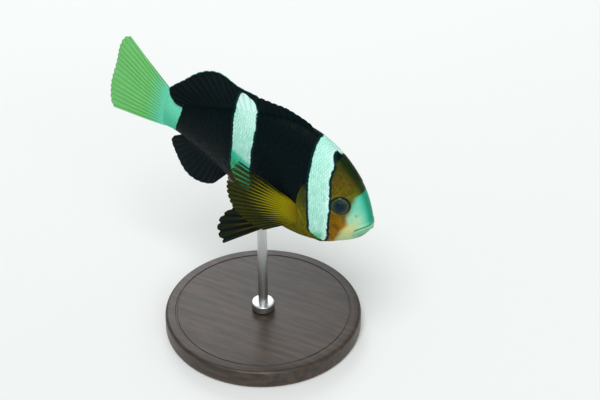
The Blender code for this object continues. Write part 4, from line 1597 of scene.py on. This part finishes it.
def fin_cuff(name, surface, rows, size, seed):
    """Rows of small scales over the root of a fin, on both faces."""
    chance = np.random.default_rng(seed)
    line = np.linspace(0.0, 1.0, 61)
    low_line = surface(line, np.full(len(line), 0.15))[0]
    width = np.linalg.norm(np.diff(low_line, axis=0), axis=1).sum()
    roots, tips = surface(line, np.zeros(len(line)))[0], surface(line, np.ones(len(line)))[0]
    ray_length = np.linalg.norm(tips - roots, axis=1)
    laid = []
    climb = CUFF_START
    for row in range(rows):
        scale = size * (1 - CUFF_SHRINK * row / rows)
        count = int(width / (CUFF_WIDTH * scale))
        share = (np.arange(count) + 0.25 + 0.5 * (row % 2)) / count
        laid.append((share, np.full(count, climb), np.full(count, scale)))
        climb += CUFF_CLIMB * scale
    share, climb, scale = (np.concatenate(column) for column in zip(*laid))
    reach = np.interp(share, line, ray_length)
    keep = (climb + CUFF_LENGTH * scale < CUFF_END * reach) & (share > 0.02) & (share < 0.98)
    share, climb, scale, reach = (v[keep] for v in (share, climb, scale, reach))
    out = (climb[:, None] + CUFF_LENGTH * scale[:, None] * plate_reach) / reach[:, None]
    along = np.clip(share[:, None] + 0.80 * scale[:, None] * plate_width / width, 0.0, 1.0)
    sheet, normal, half, _ = surface(along, out)
    rise = plate_rise(len(share), chance)
    for face, sign, far in (("near", 1, 0.0), ("far", -1, FAR_SHIFT)):
        patch = fin_map(share, climb / reach, far)
        add_scales(f"{name}_cuff_{face}", sheet, normal * sign, half + rise, patch, sign < 0, chance)


print("cuff scales start", CUFF_START / MM, "mm out from the root")

# %% [markdown]
# All fins share one recipe: colour from a paint function, low gloss, a bump of web and joints, and in
# one case some clearness. What differs is the paint, which reads three numbers at each point: how far
# along the fin it lies, how far out from the root, and how much of a ray is there.

# %% One recipe for fins
FIN_GLOSS = 0.05
FIN_BUMP = 0.05 * MM
RAY_JOINTS = 150.0  # fine joints of the rays, in radians from root to margin


def fin_finish(name, paint, clear=None):
    """A fin material; paint gives its colour, and clear how see-through it is, from the fin's lines."""
    material, tree, shader = new_material(name)
    spot = object_place(tree)
    share, out, ray = split(attribute(tree, "fin_lines"))
    feed(shader.inputs["Base Color"], paint(tree, spot, share, out, ray))
    if clear:
        feed(shader.inputs["Alpha"], 1.0 - clear(share, out, ray))
    feed(shader.inputs["Roughness"], 0.46 - ray * 0.08)
    shader.inputs["Specular IOR Level"].default_value = FIN_GLOSS
    joints = (out * RAY_JOINTS).math("SINE") * ray
    add_bump(tree, shader, joints * 0.5 + noise(spot, 2600.0), FIN_BUMP, 0.6)
    return material


print("joints on a ray:", round(RAY_JOINTS / math.tau))

# %% [markdown]
# The black fins carry the body's markings, so that the middle bar runs up on to the soft dorsal
# without a break. That fin's rear lobe stays black, though it lies over the tail bar, and a thin pale
# thread edges its margin. The pelvics are amber at the root and black outward.

# %% Black and amber fins
RAY_TEAL = (0.004, 0.018, 0.020)
MARGIN_THREAD = (0.050, 0.300, 0.210)
PELVIC_RAY = ((0.200, 0.110, 0.005), (0.014, 0.016, 0.006))  # at the root and further out
PELVIC_WEB = ((0.110, 0.062, 0.004), (0.003, 0.008, 0.007))


def paint_dark(tree, spot, share, out, ray):
    return mix(ray * 0.25, marked(tree, spot)[0], RAY_TEAL)


def paint_soft_dorsal(tree, spot, share, out, ray):
    colour = mix(soft_step(share, 0.46, 0.54), marked(tree, spot)[0], BLACK)
    colour = mix(ray * 0.20, colour, RAY_TEAL)
    return mix(soft_step(out, 0.980, 0.994) * 0.85, colour, MARGIN_THREAD)


def paint_pelvic(tree, spot, share, out, ray):
    amber = mix(soft_step(out, 0.10, 0.80), *PELVIC_RAY)
    web = mix(soft_step(out, 0.05, 0.50), *PELVIC_WEB)
    return mix(soft_step(ray, 0.25, 0.70), web, amber)


DARK_FIN = fin_finish("dark_fin", paint_dark)
SOFT_DORSAL = fin_finish("soft_dorsal_fin", paint_soft_dorsal)
PELVIC = fin_finish("amber_fin", paint_pelvic)
print("black and amber finishes:", DARK_FIN.name, SOFT_DORSAL.name, PELVIC.name)

# %% [markdown]
# The pectoral fins are orange gold at the root and dusky towards the tip, the webs sooner than the
# rays. Their upper webs are clear, so the bar behind shows between the rays, and the first ray is
# dark like a leading edge. Clearness could come from a glass-like shader, but a sheet this thin hardly
# bends light, so plain transparency serves.

# %% Golden fins
DUSK = (0.004, 0.010, 0.003)
FIN_ORANGE = (0.170, 0.100, 0.001)
FIN_GOLD = (0.262, 0.228, 0.001)
FIN_OLIVE = (0.110, 0.105, 0.003)
FIN_BROWN = (0.080, 0.055, 0.002)


def paint_pectoral(tree, spot, share, out, ray):
    gold = mix(soft_step(out, 0.00, 0.22), FIN_ORANGE, FIN_GOLD)
    gold = mix(soft_step(share, 0.50, 1.00) * 0.45, gold, FIN_OLIVE)
    reach = out + (share - 0.30).math("ABSOLUTE") * 0.30
    gold = mix(soft_step(reach, 0.46, 0.80) * 0.90, gold, DUSK)
    web = mix(0.10 + soft_step(reach, 0.26, 0.60) * 0.88, gold, DUSK)
    colour = mix(soft_step(ray, 0.15, 0.60), web, gold)
    colour = mix(soft_step(share, 0.075, 0.020) * soft_step(out, 0.05, 0.35) * 0.9, colour, DUSK)
    return mix(soft_step(noise(spot, 1800.0), 0.45, 0.75) * 0.30, colour, FIN_BROWN)


def clear_pectoral(share, out, ray):
    """The webs of the upper rays are clear as far as the margin, and those below them less far."""
    window = soft_step(out, 0.90, 0.80) * soft_step(share, 0.36, 0.22) * 0.65
    window = greater(window, soft_step(share, 0.29, 0.19))
    return window * soft_step(out, 0.45, 0.66) * soft_step(ray, 0.85, 0.30) * 0.85


PECTORAL = fin_finish("golden_fin", paint_pectoral, clear_pectoral)
print("golden finish:", len(PECTORAL.node_tree.nodes), "nodes")

# %% [markdown]
# The tail is mint at its root, like the bars, and turns yellowish green outward. Its rays are paler
# than its webs, and clouds of mint keep the sheet from looking printed.

# %% The tail's finish
TAIL_WEB = ((0.080, 0.500, 0.280), (0.110, 0.420, 0.110))  # at the root and further out
TAIL_RAY = ((0.190, 0.670, 0.470), (0.200, 0.560, 0.170))
TAIL_CLOUD = (0.260, 0.660, 0.380)


def paint_tail(tree, spot, share, out, ray):
    outward = soft_step(out, 0.05, 0.45)
    pale = mix(soft_step(noise(spot, 700.0, 3.0), 0.40, 0.70) * 0.40, mix(outward, *TAIL_RAY), TAIL_CLOUD)
    colour = mix(soft_step(ray, 0.10, 0.80) * 0.60 + 0.15, mix(outward, *TAIL_WEB), pale)
    return mix(soft_step(out, 0.22, 0.02), colour, TAIL_MINT)


TAIL_FIN = fin_finish("mint_tail", paint_tail)
print("tail finish:", len(TAIL_FIN.node_tree.nodes), "nodes")

# %% [markdown]
# The fins in the middle plane grow from the keels of the back and belly. Their margins are smooth
# curves through a few points. The spiny dorsal is low, and its web dips a little behind each spine.
# The soft dorsal ends in a lobe that leans over the tail root.

# %% Dorsal and anal fins
SPINY_EDGE = ((0.380, 0.303), (0.430, 0.315), (0.490, 0.321), (0.550, 0.312), (0.624, 0.306))
SOFT_EDGE = ((0.621, 0.306), (0.700, 0.308), (0.783, 0.322), (0.844, 0.303), (0.900, 0.260),
             (0.952, 0.193), (0.990, 0.147), (1.003, 0.126), (0.998, 0.110), (0.983, 0.098),
             (0.955, 0.083), (0.933, 0.081), (0.918, 0.083))
ANAL_EDGE = ((0.690, -0.168), (0.725, -0.222), (0.780, -0.246), (0.840, -0.238), (0.895, -0.202),
             (0.935, -0.155), (0.950, -0.120), (0.940, -0.092))
ROOT_SINK = 0.014  # the fins' roots lie this far inside the body
LOBE_LEAN = -0.024  # how far the soft dorsal's lobe leans to the right
UNFORKED = 2.0  # a fork beyond the margin, for spines
KEEL_THICK = 1.25 * MM
KEEL_THIN = 0.55 * MM
KEEL_SCALE = 0.95 * MM


def stacked(back, side, up):
    return np.stack(np.broadcast_arrays(back, side, up), axis=-1)


def keel_fin(name, rays, start, end, keel, sink, edge, material, cuff, lean=0.0, **shape):
    """A fin along a keel of the body; lean lays the last rays over to one side."""
    line = smooth_line(edge)

    def root(share):
        back = start + (end - start) * share
        return stacked(back, 0.0, keel(back) + sink)

    def tip(share):
        back, up = np.moveaxis(at_length(line, share), -1, 0)
        return stacked(back, lean * smooth(share, 0.70, 0.93), up)

    surface = fin_surface(root, tip, rays, KEEL_THICK, KEEL_THIN, **shape)
    fin_sheet(name, surface, rays, material)
    fin_cuff(name, surface, cuff, KEEL_SCALE, rays)


keel_fin("dorsal_fin_spiny", 10, 0.338, 0.606, back_line, -ROOT_SINK, SPINY_EDGE, DARK_FIN, 2,
         notch=0.05, fork=UNFORKED, wave=0.15 * MM)
keel_fin("dorsal_fin_soft", 17, 0.604, 0.905, back_line, -ROOT_SINK, SOFT_EDGE, SOFT_DORSAL, 5,
         lean=LOBE_LEAN, wave=0.30 * MM)
keel_fin("anal_fin", 14, 0.658, 0.885, belly_line, ROOT_SINK, ANAL_EDGE, DARK_FIN, 4, wave=0.30 * MM)

# %% [markdown]
# The tail's margin is a formula: a fan of rays about a point inside the tail root, with the corners
# rounded off. A list of points would do as well, but a fan keeps both halves even.

# %% The tail fin
TAIL_FAN = math.radians(26)  # half of the fan
TAIL_LIFT = math.radians(3)
TAIL_FAN_CENTRE = (0.860, 0.020)
TAIL_RAYS = 16
TAIL_SEED = 31


def tail_root(share):
    return stacked(1.0 - ROOT_SINK, 0.0, 0.097 - 0.162 * share)


def tail_edge(share):
    spread = 1 - 2 * share
    reach = 0.435 + 0.035 * spread ** 2 - 0.032 * np.abs(spread) ** 9
    angle = TAIL_FAN * spread + TAIL_LIFT
    back, up = TAIL_FAN_CENTRE
    return stacked(back + reach * np.cos(angle), 0.0, up + reach * np.sin(angle))


tail_line = tail_edge(np.linspace(0, 1, 41))
tail = fin_surface(tail_root, lambda share: at_length(tail_line, share), TAIL_RAYS, 1.60 * MM, 0.55 * MM,
                   fork=0.30, wave=0.30 * MM)
fin_sheet("tail_fin", tail, TAIL_RAYS, TAIL_FIN)
fin_cuff("tail_fin", tail, 7, 1.00 * MM, TAIL_SEED)

# %% [markdown]
# The paired fins are the fish's hands and feet. Each ray leaves its root in a direction of its own,
# and turning that direction from ray to ray spreads the fan. The left pectoral is held a little
# lower than the right one, as in a fish that is turning.

# %% Paired fins
PECTORAL_UP = math.radians(28.5)
PECTORAL_DOWN = math.radians(30)
LEFT_PECTORAL_LIFT = -0.25  # in radians
PECTORAL_RAYS = 19
PELVIC_RAYS = 6


def pectoral_lines(sign, lift):
    """The root and the tips of a pectoral fin's rays."""

    def root(share):
        return stacked(0.308 - 0.014 * share, sign * 0.094, -0.014 - 0.076 * share)

    def tip(share):
        rise = PECTORAL_UP - (PECTORAL_UP + PECTORAL_DOWN) * share + lift
        out = np.radians(21 + 10 * share)
        reach = 0.268 + 0.045 * np.sin(math.pi * (share + 0.30)) - 0.090 * share ** 2
        ray = stacked(np.cos(rise) * np.cos(out), sign * np.cos(rise) * np.sin(out), np.sin(rise))
        return root(share) + ray * reach[..., None]

    return root, tip


def pelvic_lines(sign):
    """The root and the tips of a pelvic fin's rays."""

    def root(share):
        return stacked(0.372 + 0.045 * share, sign * (0.048 - 0.012 * share), -0.176 - 0.004 * share)

    def tip(share):
        ray = stacked(0.68 + 0.24 * share, sign * (0.34 - 0.24 * share), -0.64 + 0.40 * share)
        ray /= np.linalg.norm(ray, axis=-1, keepdims=True)
        reach = 0.27 + 0.04 * np.sin(math.pi * share) - 0.10 * share
        return root(share) + ray * reach[..., None]

    return root, tip


for hand, sign in SIDES:
    lift = LEFT_PECTORAL_LIFT if hand == "left" else 0.0
    fan = fin_surface(*pectoral_lines(sign, lift), PECTORAL_RAYS, 1.40 * MM, 0.45 * MM,
                      notch=0.020, fork=0.35, wave=0.25 * MM)
    fin_sheet("pectoral_fin_" + hand, fan, PECTORAL_RAYS, PECTORAL)
    fan = fin_surface(*pelvic_lines(sign), PELVIC_RAYS, 1.50 * MM, 0.45 * MM,
                      notch=0.04, fork=0.40, wave=0.20 * MM)
    fin_sheet("pelvic_fin_" + hand, fan, PELVIC_RAYS, PELVIC)

# %% [markdown]
# The stand stays quiet, in dark wood and brushed steel. Wood shows a broad figure along its grain and
# fine open pores in it, so two stretched noises make it. Steel that was polished on a lathe shows
# fine rings, which one noise stretched the other way gives.

# %% Wood and steel
WOOD_DARK = (0.020, 0.012, 0.008)
WOOD_LIGHT = (0.060, 0.036, 0.022)
WOOD_PORE = (0.008, 0.005, 0.004)
WOOD_BUMP = 0.08 * MM
STEEL_DARK = (0.46, 0.47, 0.48)
STEEL_LIGHT = (0.64, 0.64, 0.63)
STEEL_BUMP = 0.02 * MM


def wood_finish():
    material, tree, shader = new_material("ebonised_wood")
    spot = object_place(tree)
    figure = noise(spot, 60.0, 4.0, (1.0, 9.0, 9.0))
    pores = noise(spot, 420.0, 2.0, (0.6, 12.0, 12.0))
    colour = mix(soft_step(figure, 0.30, 0.75), WOOD_DARK, WOOD_LIGHT)
    feed(shader.inputs["Base Color"], mix(soft_step(pores, 0.60, 0.72) * 0.7, colour, WOOD_PORE))
    feed(shader.inputs["Roughness"], 0.34 + pores * 0.15)
    add_bump(tree, shader, pores, WOOD_BUMP, 0.35)
    return material


def steel_finish():
    material, tree, shader = new_material("brushed_steel")
    spot = object_place(tree)
    brushed = noise(spot, 900.0, 2.0, (1.0, 1.0, 14.0))
    feed(shader.inputs["Base Color"], mix(brushed, STEEL_DARK, STEEL_LIGHT))
    shader.inputs["Metallic"].default_value = 1.0
    feed(shader.inputs["Roughness"], 0.24 + brushed * 0.16)
    add_bump(tree, shader, brushed, STEEL_BUMP, 0.4)
    return material


WOOD = wood_finish()
STEEL = steel_finish()
print("stand finishes:", WOOD.name, "and", STEEL.name)

# %% [markdown]
# Base, collar and rod are lathe work: a profile of (radius, height) points spun round the upright
# axis, as the eye was. Bevels as small as half a millimetre matter here, because their highlights say
# that the edge was turned. A shallow groove near the rim gives the plain disc its one ornament.

# %% The stand
BASE_RADIUS = 36.0 * MM
BASE_HEIGHT = 7.0 * MM
BASE_BEVEL = 1.2 * MM
GROOVE_RADII = (32.4 * MM, 32.2 * MM, 31.7 * MM, 31.5 * MM)
GROOVE_FLOOR = 6.75 * MM
COLLAR_RADIUS = 4.2 * MM
COLLAR_HEIGHT = 3.0 * MM
COLLAR_BEVEL = 0.45 * MM
ROD_RADIUS = 1.75 * MM
JOINT = 0.3 * MM  # between the base and what stands on it
SHARP_EDGE = math.radians(40)


def turned_piece(name, profile, material, node, sides=96):
    """A solid of revolution from (radius, height) points in metres, bottom first."""
    radii, heights = zip(*profile)
    faces = grid_faces(len(profile), sides, wrapped=True)
    last = (len(profile) - 1) * sides
    faces += [tuple(range(sides - 1, -1, -1)), tuple(range(last, last + sides))]
    piece = add_piece(name, spun(radii, heights, sides), faces, material, (node,),
                      matrix=Matrix.Identity(4))
    piece.data.set_sharp_from_angle(angle=SHARP_EDGE)


def rounded(radius, low, high, bevel, steps=5):
    """The profile of a disc with quarter-round edges."""
    turn = np.linspace(0, math.pi / 2, steps + 1)
    inside = radius - bevel
    low_edge = [(inside + bevel * math.sin(a), low + bevel - bevel * math.cos(a)) for a in turn]
    high_edge = [(inside + bevel * math.cos(a), high - bevel + bevel * math.sin(a)) for a in turn]
    return low_edge + high_edge


groove = list(zip(GROOVE_RADII, (BASE_HEIGHT, GROOVE_FLOOR, GROOVE_FLOOR, BASE_HEIGHT)))
base_profile = rounded(BASE_RADIUS, 0.0, BASE_HEIGHT, BASE_BEVEL) + groove
turned_piece("stand_disc", base_profile, WOOD, "stand_base")
foot = BASE_HEIGHT + JOINT
collar_profile = rounded(COLLAR_RADIUS, foot, foot + COLLAR_HEIGHT, COLLAR_BEVEL)
turned_piece("stand_ring", collar_profile, STEEL, "stand_collar", 64)
rod_profile = [(ROD_RADIUS, foot), (ROD_RADIUS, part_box("stand_rod")[1].z)]
turned_piece("stand_pin", rod_profile, STEEL, "stand_rod", 48)
